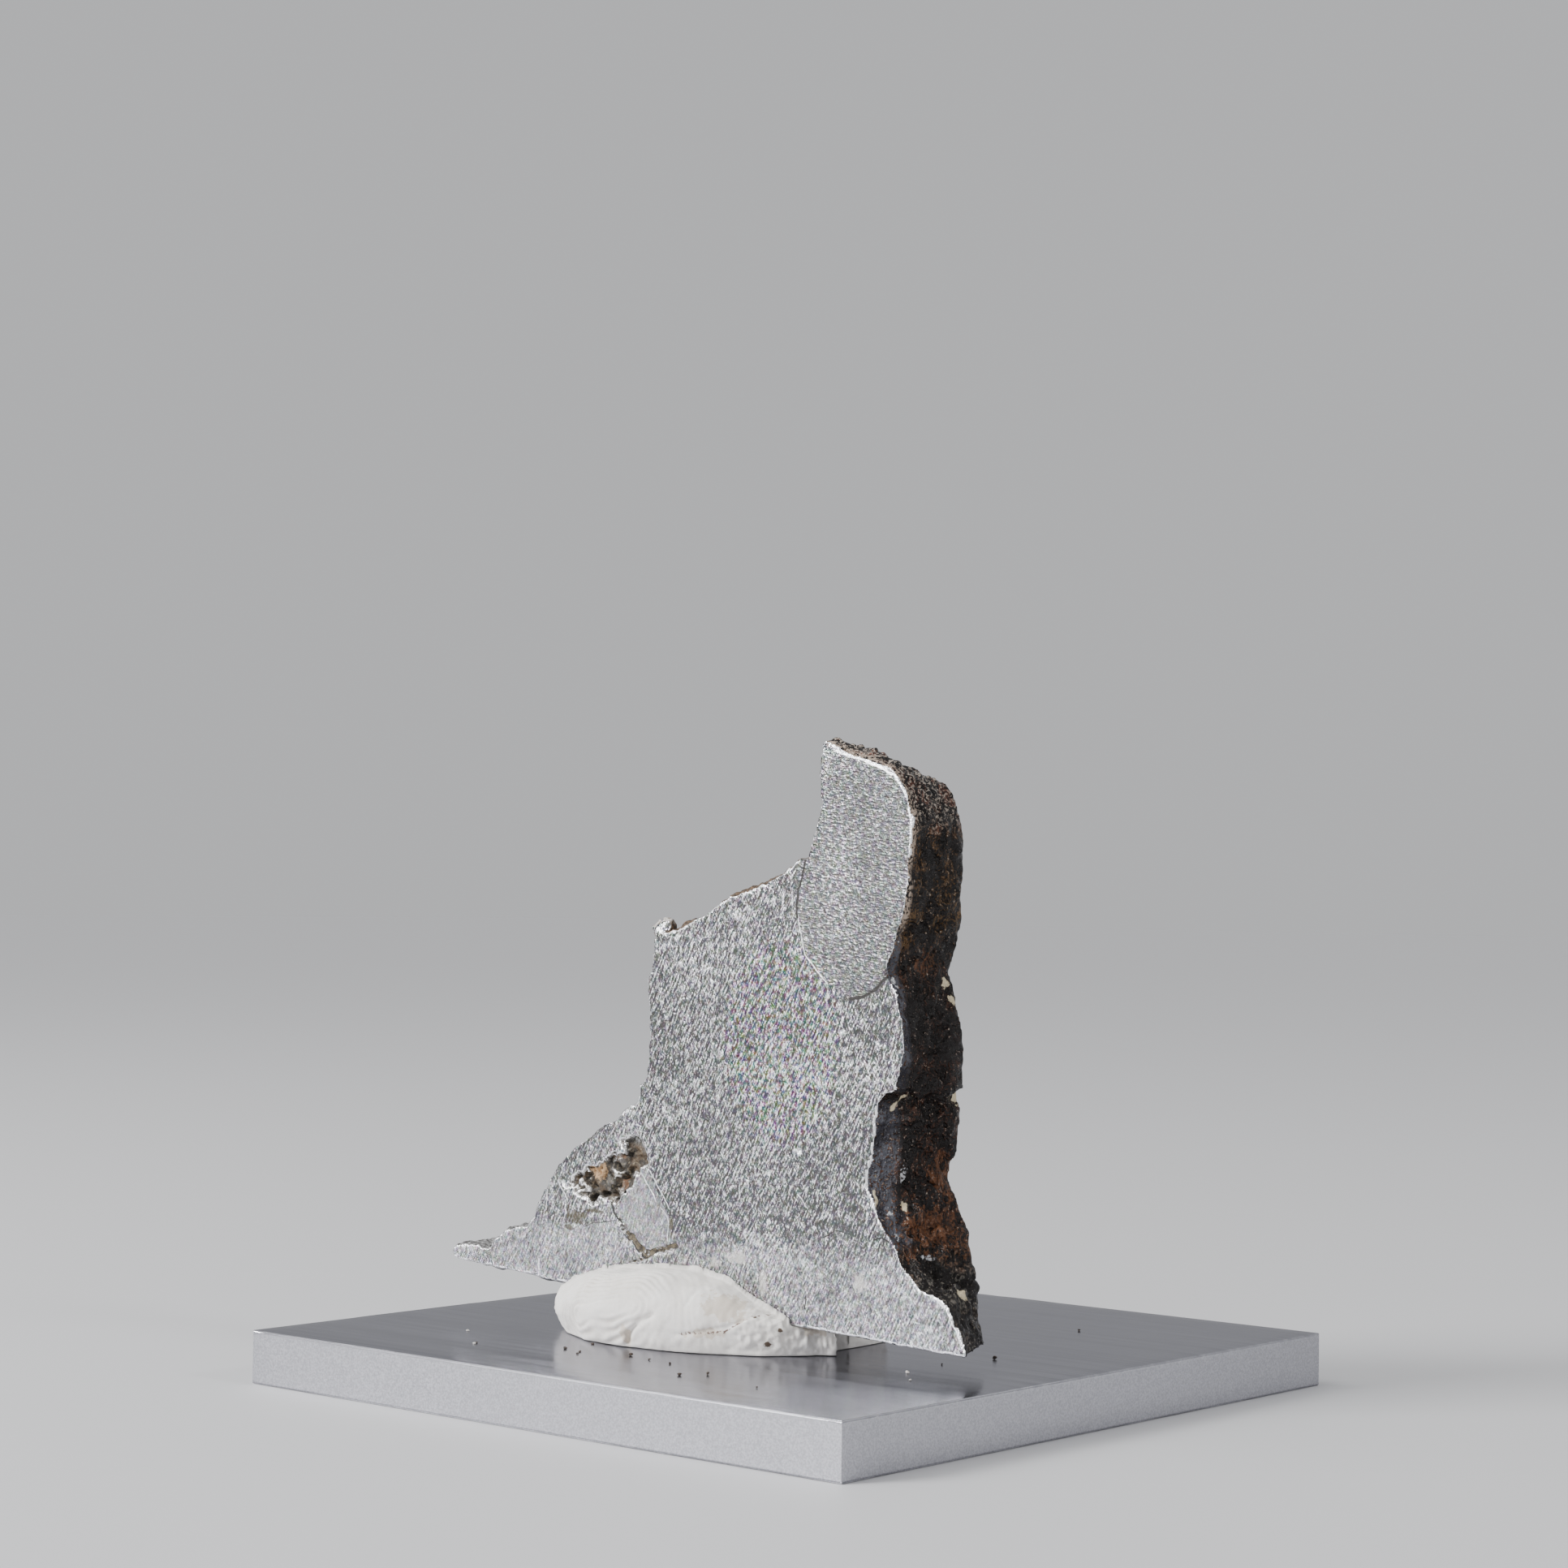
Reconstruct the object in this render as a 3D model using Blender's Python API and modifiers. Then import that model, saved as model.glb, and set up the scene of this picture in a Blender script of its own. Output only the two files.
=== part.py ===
"""Sawn slice of an iron meteorite, standing in a lump of putty on a small aluminium plate.

The plate lies on the table with its middle at the origin. X runs along its front edge and Z is up.
"""

import math

import bmesh
import bpy
import numpy as np
from mathutils import Vector, noise

MM = 0.001

# Plate: a square offcut whose edges are rounded by hand
PLATE_SIDE = 50.0 * MM
PLATE_THICKNESS = 3.5 * MM
PLATE_ROUNDING = 0.8 * MM
PLATE_ROUNDING_STEPS = 4

# Slice: its front cut crosses the plate's middle line at SLICE_FRONT_Y and is turned a little about Z
SLICE_THICKNESS = 5.5 * MM
SLICE_FRONT_Y = -9.4 * MM
SLICE_YAW = math.radians(2.56)

# Straight lower edge of the slice: its height above the table at x = 0, its fall towards +X,
# and where it starts and ends along X
FOOT_HEIGHT = 5.88 * MM
FOOT_FALL = math.radians(3.07)
FOOT_LEFT = -11.2 * MM
FOOT_RIGHT = 20.9 * MM
# Length of the foot, in mm, over which its points give way to the lean of the crust at its right end
FOOT_GIVE = 8.0

# Clearance left wherever one piece touches the next
CLEARANCE = 0.3 * MM

# Front outline of the slice above its foot, in millimetres, clockwise seen from the front:
# x along the cut from the plate's middle, z above the table
WING_UNDERSIDE = ((-16.0, 6.9), (-21.5, 7.3))
WING = (
    (-21.85, 7.75), (-21.4, 8.3), (-20.0, 8.35), (-18.5, 8.2), (-17.9, 8.85), (-17.0, 9.5),
    (-15.8, 9.9), (-15.0, 10.0), (-14.3, 10.8), (-13.7, 12.0), (-13.1, 12.9), (-12.3, 13.9),
    (-10.8, 15.2), (-9.0, 16.25), (-7.9, 16.9), (-6.8, 17.75), (-5.5, 18.6), (-5.1, 19.2),
)
LEFT_EDGE = (
    (-5.25, 19.75), (-4.6, 20.5), (-4.4, 22.5), (-4.5, 24.8), (-4.7, 26.6), (-4.3, 27.3),
    (-4.15, 29.2), (-3.6, 29.6),
)
SHOULDER = (
    (-2.4, 29.8), (-1.7, 30.15), (0.0, 30.9), (1.7, 31.85), (2.75, 32.25), (4.0, 32.6),
    (5.0, 32.95), (6.15, 33.45), (7.2, 34.0), (7.5, 34.35), (8.3, 34.5),
)
HORN = (
    (8.55, 35.0), (8.9, 35.9), (9.2, 36.9), (9.4, 38.1), (9.3, 39.5), (9.4, 41.1),
    (9.55, 41.85),
)
CRUST = (
    (9.85, 41.9), (11.1, 41.25), (12.9, 40.7), (14.2, 40.25), (15.1, 39.9), (15.6, 39.35),
    (16.15, 38.55), (16.4, 37.75), (16.6, 36.9), (16.55, 35.8), (16.4, 34.5), (16.3, 33.3),
    (16.05, 32.2), (15.9, 31.1), (15.5, 30.25), (15.15, 29.2), (14.7, 28.3), (14.55, 27.6),
    (15.0, 26.9), (15.4, 26.1), (15.8, 25.1), (16.05, 23.8), (15.95, 22.5), (15.65, 21.2),
    (15.3, 20.35), (14.6, 20.15), (14.05, 19.55), (13.95, 18.8), (13.8, 17.6), (13.7, 16.6),
    (13.35, 15.8), (13.2, 14.7), (13.5, 14.0), (14.0, 13.0), (14.65, 12.0), (15.1, 11.5),
    (15.65, 10.7), (16.1, 9.85), (16.9, 9.15), (17.4, 8.5), (18.5, 8.25), (19.3, 7.9),
    (19.85, 7.15), (20.4, 6.15), (20.75, 5.35),
)
OUTLINE_STEP = 0.55 * MM
RING_DEPTHS = (0.0, 0.5, 1.3, 2.3, 3.3, 4.4, 5.5)

# How far the crusted side leans out towards the back cut: (height above the table, lean), in mm
CRUST_LEAN = (
    (5.0, -2.4), (6.1, -2.2), (7.1, -1.8), (7.9, -1.3), (8.5, 0.3), (10.0, 1.5), (12.5, 2.6),
    (15.5, 2.4), (19.4, 2.4), (20.1, 1.6), (21.0, 1.1), (22.5, 0.8), (25.0, 0.3), (28.3, 1.1),
    (33.0, 0.2), (38.0, -0.5), (40.5, -0.4), (42.0, 0.0),
)
# Glossy bevel along the front of the lower crust: from and to this height, this wide, in mm
BEVEL_RANGE = (12.0, 19.9)
BEVEL_WIDTH = 1.3
BEVEL_FADE = 0.8
# Above this height the top of the horn rises to a low ridge behind the cut, then falls to the back, in mm
HORN_TOP = 39.4
HORN_RIDGE = 0.25
HORN_FALL = 0.55
# The broken shoulder rises this much towards the back cut, in mm
SHOULDER_RISE = 0.45

# Relief of the natural sides in mm, as (wavelength, height) of the lumps and of the finer pits.
# It starts behind the front cut, whose outline stays as drawn.
CRUST_RELIEF = ((2.6, 0.34), (1.1, 0.15))
BROKEN_RELIEF = ((3.0, 0.35), (0.9, 0.22))
RELIEF_START = 0.5

# Rusty inclusion in the wing and one pinhole, bitten out of the face: (x, z, radius, depth), in mm
INCLUSION = (
    (-5.35, 15.55, 1.05, 0.9),
    (-6.7, 14.55, 1.1, 0.8),
    (-8.5, 14.0, 1.05, 0.9),
    (-7.3, 13.1, 1.15, 1.0),
    (-9.0, 12.9, 1.0, 0.8),
    (-11.3, 12.9, 0.45, 0.4),
    (8.05, 16.35, 0.22, 0.25),
)
# Open cracks in the face: (half width, depth, points along it), in mm
SHOULDER_CRACK = (0.10, 0.45, ((8.35, 34.7), (8.05, 33.7), (7.8, 32.8), (7.6, 31.7), (7.7, 30.9)))
CRUST_CRACK = (0.14, 0.50, ((15.2, 27.7), (14.45, 27.1), (13.8, 26.5), (12.9, 26.1), (11.9, 25.9)))
WING_CRACK = (0.20, 0.55, ((-7.0, 11.4), (-6.0, 10.4), (-5.4, 9.6), (-4.5, 8.85), (-2.9, 9.6), (-1.8, 9.75)))
FOOT_CRACK = (0.12, 0.40, ((-4.7, 8.7), (-5.7, 8.3), (-7.0, 7.95), (-8.3, 7.6)))
CRACKS = (SHOULDER_CRACK, CRUST_CRACK, WING_CRACK, FOOT_CRACK)
CRACK_TAPER = 0.6
# Small grains that cling to the corner of the shoulder: (x, z, depth behind the cut, radius), in mm
CORNER_GRAINS = (
    (-3.65, 29.85, 0.75, 0.72),
    (-3.2, 30.25, 0.6, 0.42),
)
LUMP_ROUGHNESS = 0.35

# Putty lump, station by station along X: (x, front y, back y, height of its top), in mm
PUTTY_STATIONS = (
    (-13.2, -7.8, -6.2, 4.9),
    (-12.3, -10.2, -3.8, 6.2),
    (-10.0, -12.2, -2.2, 7.35),
    (-7.0, -13.6, -1.1, 8.0),
    (-3.5, -14.1, -0.5, 8.4),
    (0.0, -13.7, -0.2, 8.45),
    (3.0, -12.6, 0.2, 7.9),
    (6.0, -11.0, 0.9, 6.6),
    (8.0, -9.2, 1.3, 5.75),
    (9.6, -5.5, 0.6, 4.9),
    (10.2, -3.0, -1.6, 4.6),
)
# Height of its widest line above its base, how fast it tucks in below that, and the powers
# that square off its section across and upwards
PUTTY_WAIST = 1.7
PUTTY_TUCK = 2.4
PUTTY_SQUARE_ACROSS = 0.75
PUTTY_SQUARE_UP = 0.85
# The last part of each end, as a share of its girth, over which the lump closes
PUTTY_CLOSING = 0.25
PUTTY_SEGMENTS = 30
PUTTY_RINGS = 26
PUTTY_RELIEF = ((4.0, 0.35), (1.6, 0.12))


def clear_scene():
    """Remove every object, so that the model starts from nothing."""
    for thing in list(bpy.data.objects):
        bpy.data.objects.remove(thing, do_unlink=True)


def new_collection(name):
    """A collection under the scene's own."""
    group = bpy.data.collections.new(name)
    bpy.context.scene.collection.children.link(group)
    return group


def new_material(name, colour, roughness, metallic):
    """A plain Principled material."""
    material = bpy.data.materials.new(name)
    material.use_nodes = True
    shader = material.node_tree.nodes["Principled BSDF"]
    shader.inputs["Base Color"].default_value = (*colour, 1.0)
    shader.inputs["Roughness"].default_value = roughness
    shader.inputs["Metallic"].default_value = metallic
    return material


def add_object(name, bm, group, material=None):
    """Turn a bmesh into a named object in a collection."""
    mesh = bpy.data.meshes.new(name)
    bm.to_mesh(mesh)
    bm.free()
    thing = bpy.data.objects.new(name, mesh)
    group.objects.link(thing)
    if material:
        mesh.materials.append(material)
    return thing


def add_cutter(name, bm, group):
    """An object that shapes another one: it shows as wire and isn't part of the model."""
    cutter = add_object(name, bm, group)
    cutter.hide_render = True
    cutter.display_type = "WIRE"
    return cutter


def bumps(x, y, z, layers):
    """Smooth relief at a place given in mm, as a sum of noise layers."""
    return sum(high * noise.noise(Vector((x, y, z)) / wide) for wide, high in layers)


def clamp01(value):
    return min(1.0, max(0.0, value))


def foot_height(x):
    """Height of the slice's straight lower edge above the table at x, in mm."""
    return FOOT_HEIGHT / MM - x * math.tan(FOOT_FALL)


def subdivide_outline(points):
    """Closed outline with no side longer than the outline's step; every given point is kept."""
    step = OUTLINE_STEP / MM
    result = []
    for (x0, z0, kind), (x1, z1, _) in zip(points, points[1:] + points[:1]):
        count = max(1, math.ceil(math.hypot(x1 - x0, z1 - z0) / step))
        for i in range(count):
            t = i / count
            result.append((x0 + (x1 - x0) * t, z0 + (z1 - z0) * t, kind))
    return result


def slice_outline():
    """Front outline in mm, each point with the kind of side that starts there."""
    left, right = FOOT_LEFT / MM, FOOT_RIGHT / MM
    stretches = (
        ("sawn", ((right, foot_height(right)),)),
        ("broken", ((left, foot_height(left)), *WING_UNDERSIDE, *WING, *LEFT_EDGE)),
        ("shoulder", SHOULDER),
        ("broken", HORN),
        ("crust", CRUST),
    )
    return subdivide_outline([(x, z, kind) for kind, stretch in stretches for x, z in stretch])


def bevel_share(height):
    """How much of the crust's front bevel there is at a height in mm, from 0 to 1."""
    low, high = BEVEL_RANGE
    return clamp01((height - low) / BEVEL_FADE) * clamp01((high - height) / BEVEL_FADE)


def crust_lean(height, depth):
    """Sideways lean of the crusted side in mm, at a height and a depth behind the front cut."""
    heights, leans = zip(*CRUST_LEAN)
    full = float(np.interp(height, heights, leans))
    thickness = SLICE_THICKNESS / MM
    straight = full * depth / thickness
    behind = max(0.0, depth - BEVEL_WIDTH) / (thickness - BEVEL_WIDTH)
    bevelled = min(depth, BEVEL_WIDTH) + (full - BEVEL_WIDTH) * behind
    share = bevel_share(height)
    return straight * (1.0 - share) + bevelled * share


def horn_rise(height, depth):
    """Rise of the horn's top in mm: a ridge a third of the way back, then a fall to the back cut."""
    t = depth / (SLICE_THICKNESS / MM)
    ridge = HORN_RIDGE * math.sin(math.pi * min(1.0, 1.5 * t))
    return clamp01(height - HORN_TOP) * (ridge - HORN_FALL * t * t)


def side_point(point, normal, depth):
    """Place of an outline point on the ring at a depth behind the front cut, all in mm."""
    x, z, kind = point
    relief = {"crust": CRUST_RELIEF, "sawn": ()}.get(kind, BROKEN_RELIEF)
    push = bumps(x, depth, z, relief) * clamp01(depth / RELIEF_START)
    if kind == "shoulder":
        z += SHOULDER_RISE * depth / (SLICE_THICKNESS / MM)
    elif kind == "crust":
        x += crust_lean(z, depth)
    elif kind == "sawn":
        # The foot's right end leans with the crust that it meets, and stays straight
        lean = crust_lean(foot_height(FOOT_RIGHT / MM), depth)
        x += lean * clamp01(1.0 - (FOOT_RIGHT / MM - x) / FOOT_GIVE)
        z = foot_height(x)
    z += horn_rise(z, depth)
    return x + normal[0] * push, depth, z + normal[1] * push


def outward_normals(points):
    """Outward direction in the face's plane at each point of a clockwise outline."""
    normals = []
    for i in range(len(points)):
        before, after = points[i - 1], points[(i + 1) % len(points)]
        along = Vector((after[0] - before[0], after[1] - before[1])).normalized()
        normals.append((-along.y, along.x))
    return normals


def bridge(bm, near, far):
    """Close the band between two rings of vertices that run the same way."""
    for i in range(len(near)):
        j = (i + 1) % len(near)
        bm.faces.new((near[i], near[j], far[j], far[i]))


def loft_slice():
    """Solid between the two saw cuts, with its natural sides."""
    outline = slice_outline()
    normals = outward_normals(outline)
    bm = bmesh.new()
    rings = []
    for depth in RING_DEPTHS:
        places = [side_point(point, normal, depth) for point, normal in zip(outline, normals)]
        rings.append([bm.verts.new(Vector(place) * MM) for place in places])
    for near, far in zip(rings, rings[1:]):
        bridge(bm, near, far)
    cuts = [bm.faces.new(rings[0]), bm.faces.new(rings[-1])]
    bmesh.ops.recalc_face_normals(bm, faces=bm.faces)
    bmesh.ops.triangulate(bm, faces=cuts)
    return bm


def crack_cutter(half_width, depth, route):
    """Closed wedge that follows a crack: widest at the face, narrow at its bottom and its far end."""
    bm = bmesh.new()
    rows = []
    above = -depth / 2
    for i, (x, z) in enumerate(route):
        before = Vector(route[max(i - 1, 0)])
        after = Vector(route[min(i + 1, len(route) - 1)])
        along = (after - before).normalized()
        taper = 1.0 - CRACK_TAPER * i / (len(route) - 1)
        side = Vector((-along.y, along.x)) * half_width * taper
        places = (
            (x + side.x, above, z + side.y),
            (x - side.x, above, z - side.y),
            (x - side.x / 2, depth * taper, z - side.y / 2),
            (x + side.x / 2, depth * taper, z + side.y / 2),
        )
        rows.append([bm.verts.new(Vector(place) * MM) for place in places])
    for near, far in zip(rows, rows[1:]):
        bridge(bm, near, far)
    bm.faces.new(rows[0])
    bm.faces.new(rows[-1])
    bmesh.ops.recalc_face_normals(bm, faces=bm.faces)
    return bm


def lump(x, y, z, radius, depth):
    """Rough rounded lump, all in mm: as wide as its radius and as deep as its depth."""
    bm = bmesh.new()
    bmesh.ops.create_icosphere(bm, subdivisions=2, radius=1.0)
    for vert in bm.verts:
        swell = 1.0 + LUMP_ROUGHNESS * noise.noise(vert.co * 1.7 + Vector((x, y, z)))
        place = vert.co * swell
        vert.co = Vector((x + place.x * radius, y + place.y * depth, z + place.z * radius)) * MM
    return bm


def place_on_plate(thing):
    """Stand a piece of the slice, modelled in the slice's own frame, in its place over the plate."""
    thing.location = (0.0, SLICE_FRONT_Y, 0.0)
    thing.rotation_euler = (0.0, 0.0, SLICE_YAW)


def build_slice(parts, grains, pits):
    """The iron slice with its corner grains, rusty inclusion and cracks."""
    iron = new_material("ground iron", (0.42, 0.42, 0.43), 0.42, 1.0)
    body = add_object("meteorite_slice", loft_slice(), parts, iron)
    place_on_plate(body)
    for i, (x, z, depth, radius) in enumerate(CORNER_GRAINS):
        place_on_plate(add_cutter(f"corner grain {i + 1}", lump(x, depth, z, radius, radius), grains))
    for i, (x, z, radius, depth) in enumerate(INCLUSION):
        place_on_plate(add_cutter(f"pit {i + 1}", lump(x, 0.0, z, radius, depth), pits))
    for i, crack in enumerate(CRACKS):
        place_on_plate(add_cutter(f"crack {i + 1}", crack_cutter(*crack), pits))
    for operation, group in (("UNION", grains), ("DIFFERENCE", pits)):
        modifier = body.modifiers.new(group.name, "BOOLEAN")
        modifier.operation = operation
        modifier.operand_type = "COLLECTION"
        modifier.collection = group
        modifier.solver = "EXACT"
    return body


def putty_point(direction):
    """Place in mm of a point on the putty lump, from its direction on a unit sphere with poles on X."""
    stations = np.array(PUTTY_STATIONS)
    first, last = stations[0, 0], stations[-1, 0]
    x = (first + last) / 2 + direction.x * (last - first) / 2
    front, back, top = (float(np.interp(x, stations[:, 0], stations[:, i])) for i in (1, 2, 3))
    girth = math.hypot(direction.y, direction.z)
    across = direction.y / girth if girth > 0.0 else 0.0
    upward = direction.z / girth if girth > 0.0 else 0.0
    closing = clamp01(girth / PUTTY_CLOSING)
    base = (PLATE_THICKNESS + CLEARANCE) / MM
    waist = base + PUTTY_WAIST * closing
    half = (back - front) / 2 * closing
    y = (front + back) / 2 + half * math.copysign(abs(across) ** PUTTY_SQUARE_ACROSS, across)
    if upward > 0.0:
        z = waist + (top - waist) * upward ** PUTTY_SQUARE_UP * closing
    else:
        z = waist + PUTTY_TUCK * PUTTY_WAIST * upward * closing
    push = bumps(x, y, z, PUTTY_RELIEF) * closing
    y += push * across
    z += push * max(upward, 0.0)
    return x, y, max(z, base)


def slot_cutter(group):
    """Box round the slice's straight foot, with clearance at its faces and below it."""
    length = PLATE_SIDE
    width = SLICE_THICKNESS + 2.0 * CLEARANCE
    height = 2.0 * PLATE_THICKNESS
    bm = bmesh.new()
    bmesh.ops.create_cube(bm, size=1.0)
    bmesh.ops.scale(bm, vec=(length, width, height), verts=bm.verts)
    bmesh.ops.translate(bm, vec=(0.0, SLICE_THICKNESS / 2, height / 2 - CLEARANCE), verts=bm.verts)
    slot = add_cutter("slot", bm, group)
    slot.location = (0.0, SLICE_FRONT_Y, FOOT_HEIGHT)
    slot.rotation_euler = (0.0, FOOT_FALL, SLICE_YAW)
    return slot


def build_putty(parts, cutters):
    """The lump of putty, with the slot that the slice stands in."""
    white = new_material("white putty", (0.80, 0.77, 0.71), 0.75, 0.0)
    bm = bmesh.new()
    bmesh.ops.create_uvsphere(bm, u_segments=PUTTY_SEGMENTS, v_segments=PUTTY_RINGS, radius=1.0)
    for vert in bm.verts:
        # The primitive's poles are on Z, and the lump's are on X
        direction = Vector((vert.co.z, vert.co.x, vert.co.y))
        vert.co = Vector(putty_point(direction)) * MM
    bmesh.ops.recalc_face_normals(bm, faces=bm.faces)
    body = add_object("putty", bm, parts, white)
    modifier = body.modifiers.new("slot", "BOOLEAN")
    modifier.operation = "DIFFERENCE"
    modifier.object = slot_cutter(cutters)
    modifier.solver = "EXACT"
    return body


def build_plate(parts):
    """The square plate with rounded edges, lying on the table."""
    aluminium = new_material("aluminium", (0.62, 0.62, 0.66), 0.32, 1.0)
    bm = bmesh.new()
    bmesh.ops.create_cube(bm, size=1.0)
    bmesh.ops.scale(bm, vec=(PLATE_SIDE, PLATE_SIDE, PLATE_THICKNESS), verts=bm.verts)
    plate = add_object("display_plate", bm, parts, aluminium)
    plate.location = (0.0, 0.0, PLATE_THICKNESS / 2)
    rounding = plate.modifiers.new("rounded edges", "BEVEL")
    rounding.width = PLATE_ROUNDING
    rounding.segments = PLATE_ROUNDING_STEPS
    rounding.limit_method = "NONE"
    return plate


def main():
    clear_scene()
    parts = new_collection("iron_meteorite_slice")
    grains = new_collection("grains joined to the slice")
    pits = new_collection("pits cut from the slice")
    cutters = new_collection("slot cut from the putty")
    build_plate(parts)
    build_putty(parts, cutters)
    build_slice(parts, grains, pits)


main()
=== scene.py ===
"""Iron meteorite slice in a lump of putty on a small aluminium plate, finished for the render.

Run as a script. Sizes are in metres. Places on the slice are in millimetres, as (along the front cut
from the plate's middle, depth behind the front cut, height above the table).
"""

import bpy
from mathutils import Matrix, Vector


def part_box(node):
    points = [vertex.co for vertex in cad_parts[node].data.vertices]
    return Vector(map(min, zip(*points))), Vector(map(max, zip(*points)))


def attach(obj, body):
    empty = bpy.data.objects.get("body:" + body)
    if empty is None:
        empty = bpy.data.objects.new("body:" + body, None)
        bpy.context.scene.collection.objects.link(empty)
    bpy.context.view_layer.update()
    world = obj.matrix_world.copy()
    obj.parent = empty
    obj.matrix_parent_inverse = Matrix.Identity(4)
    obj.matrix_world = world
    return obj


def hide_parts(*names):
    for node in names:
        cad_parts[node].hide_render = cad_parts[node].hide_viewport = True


bl_info = {
    "name": "Iron meteorite slice",
    "version": (1, 0, 0),
    "blender": (4, 5, 0),
    "location": "3D View > Sidebar > Meteorite",
    "description": "Builds an iron meteorite slice, its putty and its plate round the packed solids",
    "category": "Object",
}

import math

import bpy
import numpy as np
from mathutils import Matrix, Vector, noise

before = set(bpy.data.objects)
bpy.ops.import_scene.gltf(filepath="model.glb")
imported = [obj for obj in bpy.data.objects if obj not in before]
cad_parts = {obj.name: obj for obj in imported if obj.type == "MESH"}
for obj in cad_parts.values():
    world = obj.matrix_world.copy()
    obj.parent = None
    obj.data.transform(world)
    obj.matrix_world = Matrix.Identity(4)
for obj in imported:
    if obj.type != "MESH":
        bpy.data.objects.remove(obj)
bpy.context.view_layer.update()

MM = 0.001
MERGE = 1e-6

# The slice's own frame: its front cut crosses the plate's middle line here, turned a little about Z
SLICE_ORIGIN = (0.0, -9.4 * MM, 0.0)
SLICE_YAW = math.radians(2.56)
SLICE_AXES = np.array(Matrix.Rotation(SLICE_YAW, 3, "Z"))
SLICE_THICKNESS = 5.5
# Straight sawn foot of the slice: its height at the plate's middle, its fall towards +X, its left end
FOOT_HEIGHT = 5.88
FOOT_FALL = math.radians(3.07)
FOOT_LEFT = -11.2
# Left of this line the sides are broken, and right of it they carry the crust
CRUST_START = (8.9, 10.2)

# Relief that the voxels add to the natural sides, as (wavelength, height) in mm
CRUST_LUMPS = ((1.7, 0.22), (0.75, 0.20), (0.38, 0.13))
# Upright streaks of the crust: their spacing and height in mm
CRUST_STREAKS = (0.45, 0.20)
BROKEN_LUMPS = ((1.4, 0.10), (0.6, 0.14), (0.33, 0.14))
# Pebbly grains of the crust at the horn's top corner: their spacing and height in mm
PEBBLE_SPACING = 0.55
PEBBLE_HEIGHT = 0.16
PEBBLE_RANGE = (35.5, 38.0)
# The nub on the shoulder leans to the left: its right side, its foot and top, and how far, in mm
NUB_RIGHT = -2.9
NUB_HEIGHT = (28.9, 30.4)
NUB_LEAN = 0.40
# Climb of the shoulder's torn top towards the back, as a share of the depth
SHOULDER_CLIMB = 0.07

# Rusty cavity in the wing: its outline on the front cut, as (along, up)
CAVITY = (
    (-4.6, 15.7), (-5.2, 16.5), (-5.8, 16.5), (-6.5, 16.2), (-6.3, 15.3), (-7.3, 15.25), (-8.0, 14.8),
    (-9.0, 14.3), (-9.8, 14.3), (-10.3, 13.8), (-11.3, 13.3), (-11.6, 13.1), (-11.2, 12.5),
    (-9.8, 12.2), (-9.1, 11.8), (-8.5, 12.2), (-7.5, 12.2), (-7.0, 11.9), (-6.5, 12.7),
    (-5.67, 13.3), (-5.5, 14.0), (-5.0, 14.5), (-4.3, 14.8),
)
# Its floor is broken into shards. By place along the cut: least and most depth of a shard
CAVITY_SHARDS = (
    (-11.6, 0.06, 0.35), (-9.7, 0.06, 0.60), (-9.2, 0.40, 1.10), (-8.3, 0.30, 1.00), (-7.2, 0.14, 0.75),
    (-6.5, 0.25, 0.80), (-5.9, 0.45, 0.65), (-4.3, 0.35, 0.55),
)
SHARD_SPACING = 0.42
CAVITY_WALL = 0.22
# Its golden shard, pale crumbs and brown stains, as (place, half size)
GOLDEN_SHARD = (((-8.85, 0.5, 14.25), (0.65, 2.0, 0.85)),)
PALE_CRUMBS = (((-6.9, 0.2, 13.9), (0.75, 1.0, 0.45)), ((-6.4, 0.2, 16.4), (0.6, 1.0, 0.4)))
BROWN_STAINS = (
    ((-11.45, 0.3, 12.95), (0.35, 1.0, 0.50)),
    ((-7.0, 0.5, 15.0), (0.5, 1.0, 0.30)),
    ((-6.5, 0.5, 13.2), (0.3, 1.0, 0.50)),
)

# Border of the smoother horn grain on the face, as up over along, and its left side
HORN_BORDER = (
    (7.0, 60.0), (7.55, 31.9), (8.1, 29.7), (8.3, 28.6), (9.2, 27.6), (10.0, 26.9), (11.1, 26.4),
    (11.9, 25.9), (12.9, 26.05), (13.8, 26.4), (14.5, 27.0), (17.0, 27.5),
)
# Smooth lens-shaped grain below the cavity: lower and upper borders, as up over along
LENS_LOW = ((-7.2, 11.6), (-7.0, 11.4), (-6.0, 10.4), (-4.9, 9.4), (-4.0, 9.1), (-2.4, 9.7), (-2.2, 11.2))
LENS_HIGH = ((-7.2, 11.3), (-7.0, 11.5), (-6.3, 12.7), (-4.9, 14.3), (-4.4, 14.5), (-3.3, 12.6), (-2.2, 11.1))
# Upper border of the brighter lower wing, as up over along
WING_BORDER = (
    (-22.0, 12.0), (-14.5, 10.4), (-11.5, 10.5), (-10.2, 10.3), (-9.0, 10.67), (-7.3, 10.9), (-6.6, 11.0),
)

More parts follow.
